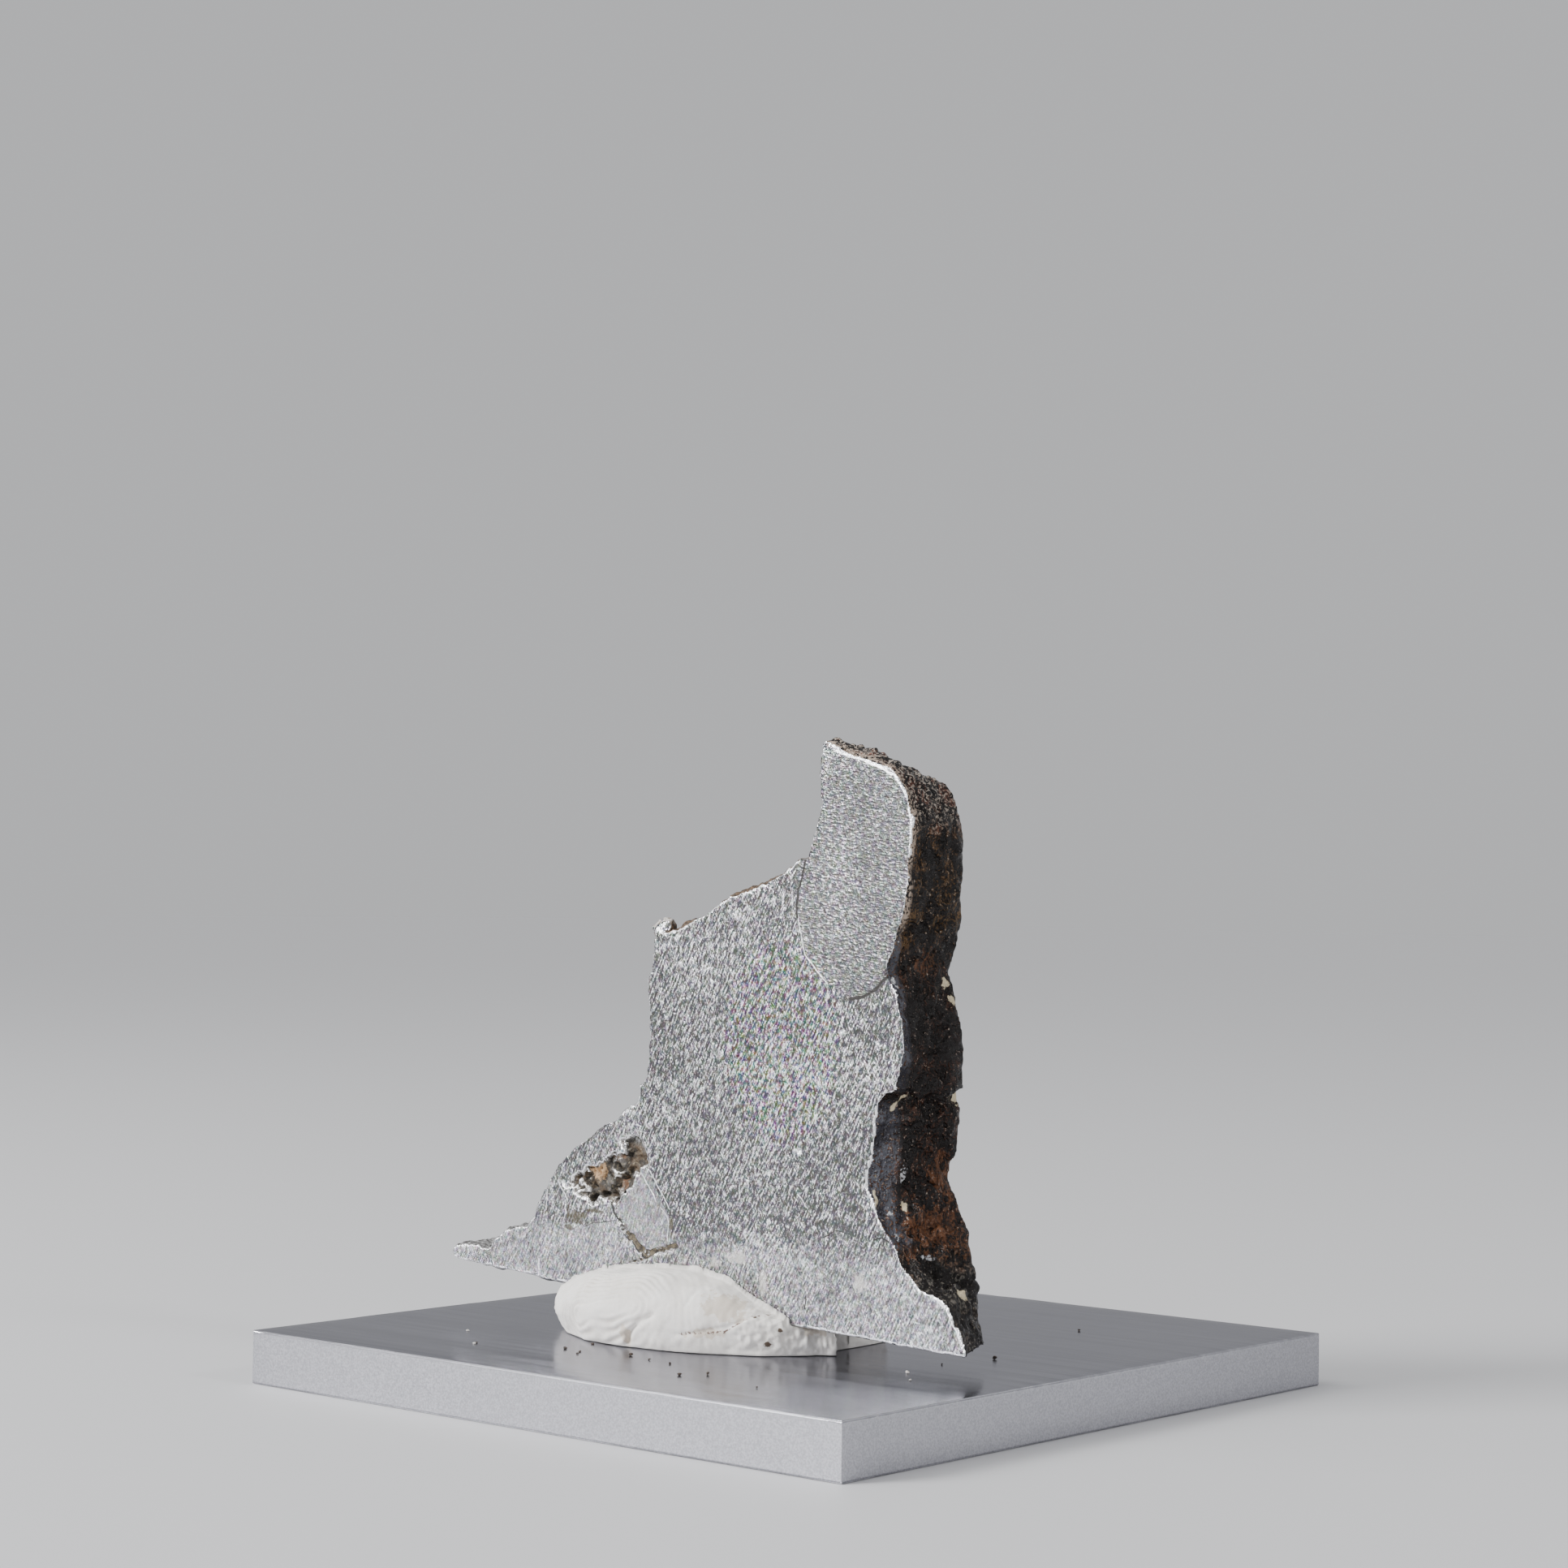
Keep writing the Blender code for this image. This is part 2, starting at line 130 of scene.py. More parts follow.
# Lines on the face as (half width, points)
OPEN_CRACKS = (
    (0.07, ((8.35, 34.7), (8.05, 33.7), (7.8, 32.8), (7.6, 31.7), (7.68, 30.9))),
    (0.10, ((15.3, 27.8), (14.5, 27.15), (13.8, 26.5), (12.9, 26.1), (11.9, 25.9))),
    (0.03, ((10.05, 9.8), (10.1, 11.1), (10.9, 11.55), (11.75, 11.5))),
    (0.05, ((15.0, 11.25), (14.4, 11.45), (13.9, 11.3))),
    (0.04, ((8.75, 7.4), (8.68, 6.6))),
    (0.03, ((7.0, 11.6), (7.1, 10.6))),
    (0.055, ((-7.4, 12.1), (-7.25, 11.5), (-6.8, 11.0), (-6.05, 10.25))),
    (0.04, ((-6.25, 10.1), (-5.4, 9.3), (-4.6, 8.7))),
    (0.09, ((-8.65, 7.5), (-7.9, 7.75), (-7.4, 7.95))),
    (0.04, ((-5.8, 8.3), (-4.9, 8.6), (-4.3, 8.75))),
    (0.025, ((-9.8, 10.3), (-8.9, 10.65), (-8.0, 10.75), (-7.1, 10.95))),
)
MINERAL_CRACKS = (
    (0.13, ((-6.3, 10.45), (-5.7, 10.0))),
    (0.22, ((-5.7, 9.95), (-5.2, 9.45), (-4.6, 9.05), (-4.2, 9.0))),
    (0.15, ((-4.3, 8.85), (-3.6, 9.2), (-2.9, 9.35), (-1.95, 9.65))),
    (0.07, ((-4.2, 8.8), (-5.0, 8.5), (-5.8, 8.3))),
)
# The last three bright lines run along the rims, and are partly painted edge highlights
BRIGHT_LINES = (
    (0.035, ((7.62, 31.5), (7.85, 30.3), (8.1, 29.3), (8.3, 28.6), (9.2, 27.6), (10.0, 26.9))),
    (0.05, ((-12.2, 13.2), (-11.3, 12.0))),
    (0.035, ((-4.95, 14.2), (-3.55, 12.4))),
    (0.035, ((-4.2, 14.35), (-2.45, 12.0))),
    (0.03, ((-3.1, 12.0), (-2.5, 11.2), (-2.6, 9.9))),
    (0.04, ((8.0, 13.6), (8.7, 12.9))),
    (0.03, ((-13.1, 12.5), (-13.2, 11.4))),
    (0.06, ((-13.8, 7.2), (-13.8, 7.9))),
    (0.10, ((16.4, 9.6), (17.3, 8.75), (18.5, 8.2), (19.4, 7.6), (20.2, 6.3), (20.7, 5.2))),
    (0.06, ((9.0, 5.5), (13.0, 5.28), (17.0, 5.05), (20.8, 4.85))),
    (0.08, ((10.4, 41.3), (12.9, 40.6), (15.1, 39.7), (16.1, 38.3), (16.4, 36.9), (16.3, 34.6))),
)

# Lighter tone of the crust by height
CRUST_TONES = (
    (5.0, (0.20, 0.19, 0.17)), (7.0, (0.07, 0.05, 0.035)), (9.0, (0.15, 0.14, 0.12)),
    (10.6, (0.13, 0.055, 0.022)), (13.2, (0.14, 0.050, 0.018)), (15.0, (0.07, 0.026, 0.012)),
    (20.0, (0.060, 0.022, 0.011)), (24.0, (0.045, 0.018, 0.010)), (28.0, (0.075, 0.030, 0.014)),
    (31.0, (0.12, 0.066, 0.024)), (36.0, (0.13, 0.068, 0.028)), (38.0, (0.17, 0.065, 0.04)),
    (42.0, (0.20, 0.07, 0.045)),
)
# Cream dust on the crust, as spots of (place, half size) and lines of (half width, places)
CREAM_SPOTS = (
    ((15.7, 4.95, 26.9), (0.5, 0.30, 0.45)),
    ((15.95, 5.25, 25.9), (0.4, 0.22, 0.30)),
    ((16.1, 5.3, 19.95), (0.5, 0.30, 0.50)),
    ((18.7, 2.6, 8.1), (0.8, 0.32, 0.33)),
    ((15.2, 1.4, 13.3), (0.4, 0.32, 0.22)),
)
CREAM_LINES = (
    (0.11, (
        (14.6, 0.7, 19.2), (14.7, 1.05, 19.65), (14.85, 1.4, 19.95), (15.1, 1.9, 20.15), (15.25, 2.45, 20.0),
    )),
    (0.10, ((13.8, 0.30, 15.6), (13.75, 0.28, 14.6), (13.9, 0.25, 13.4), (14.2, 0.15, 12.4))),
)
# Small grey-white grains on the crust, mostly painted glints
GREY_GRAINS_AND_GLINTS = (
    ((14.7, 1.7, 15.2), (0.4, 0.25, 0.50)),
    ((16.3, 1.85, 10.25), (0.4, 0.25, 0.18)),
    ((16.5, 2.4, 10.2), (0.4, 0.22, 0.16)),
    ((17.45, 1.65, 8.55), (0.4, 0.20, 0.20)),
    ((15.2, 0.8, 11.45), (0.4, 0.14, 0.30)),
    ((14.65, 0.7, 12.85), (0.4, 0.16, 0.16)),
    ((15.0, 0.3, 26.9), (0.6, 0.16, 0.35)),
    ((14.7, 0.3, 24.3), (0.6, 0.12, 0.30)),
    ((14.6, 0.3, 29.4), (0.6, 0.18, 0.22)),
)
# Rust patches on the crust, as (place, half size)
RUST_PATCHES = (
    ((16.3, 3.0, 11.9), (2.2, 1.9, 1.3)),
    ((15.9, 0.95, 10.5), (0.7, 0.45, 0.65)),
    ((15.8, 4.6, 15.0), (2.2, 0.9, 1.4)),
    ((15.4, 3.0, 28.2), (2.2, 0.8, 0.8)),
)
# Olive mineral stains on the front cut, as (place, half size)
OLIVE_STAINS = (
    ((-11.1, 0.0, 10.15), (0.45, 0.5, 0.25)),
    ((-10.4, 0.0, 10.95), (0.80, 0.5, 0.60)),
    ((-11.2, 0.0, 11.2), (0.16, 0.5, 0.55)),
    ((-2.3, 0.0, 10.9), (0.20, 0.5, 0.45)),
    ((-8.9, 0.0, 11.4), (0.9, 0.5, 0.12)),
)
# Pale smears on the front cut, as (place, half size)
PALE_SMEARS = (
    ((3.2, 0.0, 9.3), (0.9, 0.5, 0.35)),
    ((5.3, 0.0, 7.9), (0.32, 0.5, 0.9)),
    ((12.9, 0.0, 8.5), (0.5, 0.5, 0.7)),
    ((1.4, 0.0, 8.9), (0.5, 0.5, 0.3)),
)

# Gap between the CAD putty and what it touches, and how much of it the finished putty closes, in mm
PUTTY_GAP = 0.3
PUTTY_CLOSE = 0.27
PLATE_TOP = 3.5
# How far the foot of the left end is tucked in, in mm
PUTTY_TUCK = 0.85
# Right tail of the lump: how far it comes forward by place, its growth in front, where it starts,
# the share taken off its length behind, and the undercut of its blunt end
TAIL_PULL = ((8.0, 0.0), (8.5, 0.1), (9.5, 1.2), (10.5, 4.2))
TAIL_GROWTH = 0.7
TAIL_START = 7.5
TAIL_BLUNT = 0.80
TAIL_UNDERCUT = 0.5
# Middle line of the finger mark, as (x, way up the lump), and the lump's other relief, in mm
WHORL = ((-6.4, 5.1), (-4.0, 5.5), (-1.8, 6.0))
PUTTY_LUMPS = ((2.6, 0.16), (0.9, 0.07), (0.4, 0.03))
TORN_LUMPS = ((1.0, 0.18), (0.5, 0.20), (0.25, 0.14))
TORN_RANGE = (3.5, 8.0)
# Folds and cracks pressed into the putty's front, as (depth, half width, route in x and z)
PUTTY_FOLDS = (
    (0.30, 0.16, ((-2.45, 3.4), (-2.15, 4.1), (-1.8, 4.65), (-0.9, 5.4), (-0.1, 5.8))),
    (0.10, 0.12, ((1.6, 4.7), (2.6, 4.8), (3.4, 5.05), (4.6, 5.3), (5.8, 6.0))),
    (0.08, 0.12, ((2.0, 6.6), (2.05, 7.2))),
    (0.10, 0.15, ((-6.8, 6.9), (-6.75, 6.4), (-6.3, 5.9))),
)
PUTTY_CRACKS = (
    (0.09, ((1.8, 4.75), (2.6, 4.85), (3.6, 4.9), (4.4, 5.0))),
    (0.05, ((4.4, 5.0), (5.1, 5.5), (5.7, 6.0), (6.3, 6.05))),
)
# Brownish patches on the putty, as (place, half size): on its front, at the foot of the fold and on the
# tail's top under the slice's foot
PUTTY_BROWN_PATCHES = (
    ((-2.3, -13.6, 4.3), (0.35, 1.0, 0.8)),
    ((4.4, -11.5, 6.6), (1.8, 1.5, 0.9)),
    ((3.2, -12.4, 4.9), (1.6, 0.8, 0.35)),
    ((8.6, -7.6, 5.3), (1.0, 1.5, 0.5)),
)
PUTTY_SPECKS = (
    ((6.67, -10.3, 4.25), (0.28, 0.4, 0.2)),
    ((5.9, -10.7, 6.0), (0.22, 0.3, 0.14)),
    ((7.3, -9.8, 5.2), (0.16, 0.3, 0.16)),
)
# Grit lying on the plate, as (x, y, size) in mm
GRIT = (
    (-4.7, -16.6, 0.14), (-3.1, -16.9, 0.12), (-2.6, -17.6, 0.09), (-4.9, -13.9, 0.12), (0.2, -15.7, 0.14),
    (2.3, -16.3, 0.09), (4.3, -16.6, 0.10), (7.8, -19.5, 0.14), (8.8, -18.1, 0.11), (17.1, -0.6, 0.16),
    (16.2, -4.8, 0.07), (14.2, -19.8, 0.07), (-10.4, -18.8, 0.07), (13.2, 13.9, 0.10), (-2.0, 12.0, 0.12),
    (9.5, 6.2, 0.09),
)
PALE_GRIT = ((16.8, -9.0, 0.14), (18.7, -11.1, 0.11), (-14.8, -15.4, 0.10), (-10.3, -19.1, 0.12))

# Zones of the slice's colours, as (place, half size): a painted sheen of the brightest coloured flecks, the
# cavity and the nub
SHEEN_FLECK_ZONE = ((6.5, 0.0, 23.0), (5.0, 2.0, 7.0))
CAVITY_ZONE = ((-7.9, 0.5, 13.9), (4.4, 2.0, 3.2))
NUB_ZONE = ((-4.0, 1.0, 30.9), (1.3, 2.6, 1.2))
NUB_FOOT = ((-3.5, 0.3, 29.9), (0.6, 1.6, 0.6))
# Depth of the rim that the bright burr lies on, partly a painted edge highlight, and how far the burr stays
# clear of a crack, in mm
RIM_DEPTH = 0.12
RIM_CLEAR = 0.4
# Colour of the bright burr, partly a painted edge highlight
BURR_AND_EDGE_HIGHLIGHT = (0.93, 0.93, 0.95)
# Brightest share of the ground metal's colour over its darkest
METAL_RANGE = 16.0


def select_only(piece):
    bpy.ops.object.select_all(action="DESELECT")
    piece.select_set(True)
    bpy.context.view_layer.objects.active = piece


def copy_of_node(node, name):
    """A new object with a CAD node's mesh, its loose triangles merged."""
    piece = bpy.data.objects.new(name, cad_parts[node].data.copy())
    piece.data.name = name
    piece.data.materials.clear()
    bpy.context.scene.collection.objects.link(piece)
    select_only(piece)
    bpy.ops.mesh.customdata_custom_splitnormals_clear()
    bpy.ops.object.mode_set(mode="EDIT")
    bpy.ops.mesh.select_all(action="SELECT")
    bpy.ops.mesh.remove_doubles(threshold=MERGE)
    bpy.ops.object.mode_set(mode="OBJECT")
    return piece


def apply_modifier(piece, kind, **settings):
    """Add a modifier with these settings and apply it."""
    modifier = piece.modifiers.new(kind.lower(), kind)
    for name, value in settings.items():
        setattr(modifier, name, value)
    select_only(piece)
    bpy.ops.object.modifier_apply(modifier=modifier.name)


def apply_where(piece, chosen, kind, **settings):
    """Apply a modifier to the chosen vertices only."""
    group = piece.vertex_groups.new(name="chosen")
    group.add(np.flatnonzero(chosen).tolist(), 1.0, "REPLACE")
    apply_modifier(piece, kind, vertex_group=group.name, **settings)
    piece.vertex_groups.clear()


def remesh(piece, size):
    """Rebuild the piece from voxels of this size."""
    apply_modifier(piece, "REMESH", mode="VOXEL", voxel_size=size)


def vertex_data(mesh, field):
    """Places or normals of a mesh's vertices as an array of rows."""
    source = mesh.vertices if field == "co" else mesh.vertex_normals
    values = np.empty(len(mesh.vertices) * 3, np.float32)
    source.foreach_get("co" if field == "co" else "vector", values)
    return values.reshape(-1, 3).astype(float)


def move_vertices(mesh, places):
    """Give a mesh's vertices new places."""
    mesh.vertices.foreach_set("co", places.astype(np.float32).ravel())
    mesh.update()


def to_slice(points):
    """Places in metres as places in the slice's frame, in mm."""
    return (points - SLICE_ORIGIN) @ SLICE_AXES / MM


def from_slice(places):
    """Places in the slice's frame, in mm, as places in metres."""
    return places * MM @ SLICE_AXES.T + SLICE_ORIGIN


def relief(places, layers):
    """Height of the relief at each place, as the sum of noise layers given as (wavelength, height)."""
    total = np.zeros(len(places))
    for wide, high in layers:
        total += high * np.array([noise.noise(place) for place in (places / wide).tolist()])
    return total


def pebbles(places):
    """Height of rounded grains packed side by side, at each place."""
    nearest = [noise.voronoi(place)[0][0] for place in (places / PEBBLE_SPACING).tolist()]
    return PEBBLE_HEIGHT * (0.5 - np.array(nearest))


def smooth_step(values, low, high):
    """Smooth change from 0 at low to 1 at high."""
    t = np.clip((values - low) / (high - low), 0.0, 1.0)
    return t * t * (3.0 - 2.0 * t)


def band(values, start, full, last, end):
    """1 between full and last, changing smoothly to 0 at the start and at the end."""
    return smooth_step(values, start, full) * smooth_step(values, end, last)


def foot_height(along):
    """Height of the slice's straight sawn foot."""
    return FOOT_HEIGHT - along * math.tan(FOOT_FALL)


def beside_slice(places, margin, below):
    """Which places of the putty lie in the slice's slot, or within a margin of it."""
    along, depth, up = places.T
    return (depth > -margin) & (depth < SLICE_THICKNESS + margin) & (up > foot_height(along) - below)


def near_cavity(face, margin):
    """Which places on the face lie within a box round the cavity."""
    low, high = np.min(CAVITY, axis=0) - margin, np.max(CAVITY, axis=0) + margin
    return np.all((face > low) & (face < high), axis=1)


def distance_to_route(points, route):
    """Distance in the plane from each point to a line through the route's points."""
    nearest = np.full(len(points), np.inf)
    for start, end in zip(route, route[1:]):
        start, along = np.array(start), np.subtract(end, start)
        share = np.clip((points - start) @ along / (along @ along), 0.0, 1.0)
        nearest = np.minimum(nearest, np.linalg.norm(points - start - share[:, None] * along, axis=1))
    return nearest


def inside_outline(points, outline):
    """Which points of the plane lie inside a closed outline."""
    inside = np.zeros(len(points), bool)
    x, z = points.T
    for (x0, z0), (x1, z1) in zip(outline, outline[1:] + outline[:1]):
        crosses = (z0 > z) != (z1 > z)
        if z0 != z1:
            inside ^= crosses & (x < x0 + (z - z0) * (x1 - x0) / (z1 - z0))
    return inside


def soften_crust(piece):
    """Round off the straight edges of the crust, away from the two cuts."""
    along, depth, _ = to_slice(vertex_data(piece.data, "co")).T
    inner = (along > CRUST_START[0]) & (depth > 0.3) & (depth < SLICE_THICKNESS - 0.3)
    apply_where(piece, inner, "SMOOTH", factor=0.5, iterations=14)


def roughen_sides(mesh):
    """Give the natural sides their finer lumps, and the edges of the cuts a ragged line."""
    places = to_slice(vertex_data(mesh, "co"))
    normals = vertex_data(mesh, "normal") @ SLICE_AXES
    outward = np.linalg.norm(normals[:, (0, 2)], axis=1)
    along, _, up = places.T
    sawn = (normals[:, 2] < -0.5) & ((up < foot_height(along) + 0.3) | (along < FOOT_LEFT))
    index = np.flatnonzero((outward > 0.25) & ~sawn)
    spot = places[index].copy()
    share = smooth_step(spot[:, 0], *CRUST_START)
    inner = band(spot[:, 1], 0.2, 1.4, SLICE_THICKNESS - 1.2, SLICE_THICKNESS)
    push = relief(spot, CRUST_LUMPS) * share * (0.6 + 0.8 * inner)
    push += relief(spot, BROKEN_LUMPS) * (1.0 - share)
    push += relief(spot / (1.0, 1.0, 4.0), (CRUST_STREAKS,)) * share * inner
    push += pebbles(spot) * (0.35 + 0.65 * smooth_step(spot[:, 2], *PEBBLE_RANGE)) * share
    for axis in (0, 2):
        places[index, axis] += push * normals[index, axis]
    # Level ledges wander up and down, and the shoulder climbs a little towards the back
    sway = relief(spot * (1.0, 1.0, 0.5), ((1.9, 0.9), (0.8, 0.35)))
    places[index, 2] += sway * share * inner * band(spot[:, 2], 6.0, 8.0, 35.0, 38.0)
    shoulder = band(spot[:, 0], -3.2, -1.0, 6.5, 8.3) * smooth_step(spot[:, 2], 28.0, 29.5)
    places[index, 2] += SHOULDER_CLIMB * spot[:, 1] * shoulder
    nub = smooth_step(up, *NUB_HEIGHT) * smooth_step(along, NUB_RIGHT, NUB_RIGHT - 0.5)
    places[:, 0] -= NUB_LEAN * nub
    move_vertices(mesh, from_slice(places))


def shard_depth(points):
    """Depth of the broken cavity floor: flat tilted shards, each with its own level."""
    along = [place for place, _, _ in CAVITY_SHARDS]
    least = np.interp(points[:, 0], along, [low for _, low, _ in CAVITY_SHARDS])
    most = np.interp(points[:, 0], along, [high for _, _, high in CAVITY_SHARDS])
    levels = []
    for x, z in (points / SHARD_SPACING).tolist():
        centre = noise.voronoi((x, 0.0, z))[1][0]
        seed = centre * 13.7
        tilt = (noise.cell(seed + Vector((5.0, 0.0, 0.0))) - 0.5) * (x - centre.x)
        tilt += (noise.cell(seed + Vector((0.0, 0.0, 9.0))) - 0.5) * (z - centre.z)
        levels.append(noise.cell(seed) + 0.9 * tilt)
    return least + (most - least) * np.clip(levels, 0.0, 1.0)


def carve_cavity(mesh):
    """Give the rusty cavity its outline and its broken floor."""
    places = to_slice(vertex_data(mesh, "co"))
    face = places[:, (0, 2)]
    index = np.flatnonzero(near_cavity(face, 0.8) & (places[:, 1] < 1.6))
    face = face[index]
    edge = distance_to_route(face, CAVITY + CAVITY[:1])
    flat = np.column_stack((face[:, 0], np.zeros(len(face)), face[:, 1]))
    edge += relief(flat, ((0.9, 0.35), (0.35, 0.25)))
    inside = np.where(inside_outline(face, CAVITY), edge, -edge)
    floor = shard_depth(face) + relief(flat, ((0.3, 0.10),))
    places[index, 1] = np.maximum(floor, 0.0) * smooth_step(inside, -0.05, CAVITY_WALL)
    move_vertices(mesh, from_slice(places))


def fill_mineral_cracks(mesh):
    """Fill the mineral cracks to just below the face, with a rough top."""
    places = to_slice(vertex_data(mesh, "co"))
    face = places[:, (0, 2)]
    for width, route in MINERAL_CRACKS:
        near = (places[:, 1] < 1.0) & (distance_to_route(face, route) < width * 2.6)
        index = np.flatnonzero(near)
        flat = places[index] * (1.0, 0.0, 1.0)
        level = 0.12 + relief(flat, ((0.5, 0.12), (0.25, 0.06)))
        share = 1.0 - smooth_step(distance_to_route(face[index], route), width * 0.6, width * 1.6)
        places[index, 1] = np.maximum(level, 0.0) * share
    move_vertices(mesh, from_slice(places))


def thin_faces(piece, settings):
    """Spend fewer triangles on the flat insides of the two cuts."""
    mesh = piece.data
    depth = to_slice(vertex_data(mesh, "co"))[:, 1]
    across = np.abs(vertex_data(mesh, "normal") @ SLICE_AXES[:, 1])
    flat = (across > 0.9999) & ((depth < 0.02) | (depth > SLICE_THICKNESS - 0.02))
    flat &= ~near_edge(mesh, ~flat, 2)
    triangles = len(mesh.polygons) * 2
    ratio = min(settings.triangles, triangles) / triangles
    apply_where(piece, flat, "DECIMATE", ratio=ratio, vertex_group_factor=1000.0)


class Shade:
    """Adds nodes to a node tree. Each input is another node's output or a plain value."""

    def __init__(self, tree):
        self.tree = tree

    def node(self, kind, inputs=None, **settings):
        """Add a node with its inputs and settings."""
        node = self.tree.nodes.new(kind)
        for name, value in settings.items():
            setattr(node, name, value)
        for key, value in (inputs or {}).items():
            self.feed(node.inputs[key], value)
        return node

    def feed(self, socket, value):
        """Link a socket to another node's output, or set it to a plain value."""
        if isinstance(value, bpy.types.NodeSocket):
            self.tree.links.new(value, socket)
        elif socket.type == "RGBA":
            socket.default_value = (*value, 1.0)
        else:
            socket.default_value = value

    def math(self, operation, *values, clamp=False):
        """One sum. Clamping is two more nodes, because a node's own clamp crowds the shader's memory."""
        result = self.node("ShaderNodeMath", dict(enumerate(values)), operation=operation).outputs[0]
        if clamp:
            return self.math("MINIMUM", self.math("MAXIMUM", result, 0.0), 1.0)
        return result

    def times(self, first, *others):
        """Product of the values."""
        for value in others:
            first = self.math("MULTIPLY", first, value)
        return first

    def largest(self, first, *others):
        """Largest of the values."""
        for value in others:
            first = self.math("MAXIMUM", first, value)
        return first

    def rest(self, value):
        """What is left of 1."""
        return self.math("SUBTRACT", 1.0, value)

    def total(self, *parts, start=0.0):
        """Sum of the parts, given as (value, weight)."""
        for value, weight in parts:
            start = self.math("MULTIPLY_ADD", value, weight, start)
        return start

    def swing(self, value, size, middle=0.0):
        """A value from 0 to 1 as a change of this size round a middle."""
        return self.math("MULTIPLY_ADD", self.math("SUBTRACT", value, 0.5), size, middle)

    def vector(self, operation, *values):
        """One sum with vectors. Its result is a number for a product, a length or a distance."""
        node = self.node("ShaderNodeVectorMath", dict(enumerate(values)), operation=operation)
        return node.outputs["Value" if operation in ("DOT_PRODUCT", "LENGTH", "DISTANCE") else "Vector"]

    def noise(self, place, size, detail=2.0, roughness=0.5, output="Fac", curl=0.0):
        """Noise with features about this size, in the units of the place."""
        inputs = {"Vector": place, "Scale": 1.0 / size, "Detail": detail, "Roughness": roughness}
        return self.node("ShaderNodeTexNoise", {**inputs, "Distortion": curl}).outputs[output]

    def ragged(self, place, size, amount):
        """How much a border gives way, from place to place."""
        return self.swing(self.noise(place, size, 3.0, 0.6), amount)

    def rise(self, value, low, high, start=0.0, end=1.0):
        """Smooth change from start to end, as the value goes from low to high."""
        inputs = {"Value": value, "From Min": low, "From Max": high, "To Min": start, "To Max": end}
        return self.node("ShaderNodeMapRange", inputs, interpolation_type="SMOOTHSTEP").outputs[0]

    def band(self, value, start, full, last, end):
        """1 between full and last, changing smoothly to 0 at the start and at the end."""
        return self.times(self.rise(value, start, full), self.rise(value, last, end, 1.0, 0.0))

    def border(self, up, along, points, soft, start=0.0, end=1.0):
        """Smooth change from start to end, going up through a border given as up over along."""
        return self.rise(self.math("SUBTRACT", up, self.curve(along, points)), -soft, soft, start, end)

    def mix(self, share, first, second):
        """Plain numbers mixed by a share."""
        inputs = {0: share, 2: first, 3: second}
        return self.node("ShaderNodeMix", inputs, data_type="FLOAT").outputs[0]

    def colour(self, share, first, second, blend="MIX"):
        """Colours mixed by a share. A plain colour is its red, green and blue."""
        inputs = {0: share, 6: first, 7: second}
        return self.node("ShaderNodeMix", inputs, data_type="RGBA", blend_type=blend).outputs[2]

    def ramp(self, value, stops):
        """Colour that changes with a value, from stops of (value, colour)."""
        low, high = stops[0][0], stops[-1][0]
        share = self.math("DIVIDE", self.math("SUBTRACT", value, low), high - low, clamp=True)
        node = self.node("ShaderNodeValToRGB", {"Fac": share})
        elements = node.color_ramp.elements
        for stop, colour in stops[1:-1]:
            elements.new((stop - low) / (high - low)).color = (*colour, 1.0)
        elements[0].color = (*stops[0][1], 1.0)
        elements[len(elements) - 1].color = (*stops[-1][1], 1.0)
        return node.outputs["Color"]

    def curve(self, value, points):
        """A line through the given points, read at a value."""
        node = self.node("ShaderNodeFloatCurve", {"Value": value})
        node.mapping.use_clip = False
        node.mapping.extend = "HORIZONTAL"
        line = node.mapping.curves[0]
        line.points[0].location = points[0]
        line.points[1].location = points[-1]
        for x, y in points[1:-1]:
            line.points.new(x, y)
        for point in line.points:
            point.handle_type = "VECTOR"
        node.mapping.update()
        return node.outputs[0]

    def group(self, name, **inputs):
        """One of the shared effects, with its own values."""
        named = {key.replace("_", " ").capitalize(): value for key, value in inputs.items()}
        node = self.node("ShaderNodeGroup", node_tree=bpy.data.node_groups[name])
        for key, value in named.items():
            self.feed(node.inputs[key], value)
        return node.outputs[0]


def new_group(name, inputs):
    """An empty shader node group: what adds nodes to it, its inputs and where its value goes."""
    tree = bpy.data.node_groups.new(name, "ShaderNodeTree")
    for label, default in inputs.items():
        kind = "NodeSocketVector" if default is None else "NodeSocketFloat"
        socket = tree.interface.new_socket(label, in_out="INPUT", socket_type=kind)
        if default is not None:
            socket.default_value = default
    tree.interface.new_socket("Value", in_out="OUTPUT", socket_type="NodeSocketFloat")
    shade = Shade(tree)
    return shade, shade.node("NodeGroupInput").outputs, shade.node("NodeGroupOutput").inputs[0]


def build_strokes_group():
    """Scratches that run one way: noise drawn out along a direction turned in the face's plane."""
    inputs = {"Place": None, "Turn": 0.0, "Width": 0.1, "Length": 1.0}
    shade, given, result = new_group("strokes", inputs)
    turning = {"Vector": given["Place"], "Angle": given["Turn"]}
    turned = shade.node("ShaderNodeVectorRotate", turning, rotation_type="Y_AXIS").outputs[0]
    size = {"X": given["Length"], "Y": given["Width"], "Z": given["Width"]}
    drawn = shade.vector("DIVIDE", turned, shade.node("ShaderNodeCombineXYZ", size).outputs[0])
    shade.feed(result, shade.noise(drawn, 1.0, 2.0, 0.6))


def build_spot_group():
    """One spot round a centre, whose border gives way by a ragged value."""
    inputs = {"Place": None, "Centre": None, "Half size": None, "Ragged": 0.0}
    shade, given, result = new_group("spot", inputs)
    away = shade.vector("SUBTRACT", given["Place"], given["Centre"])
    away = shade.vector("LENGTH", shade.vector("DIVIDE", away, given["Half size"]))
    shade.feed(result, shade.rise(shade.math("ADD", away, given["Ragged"]), 0.75, 1.05, 1.0, 0.0))


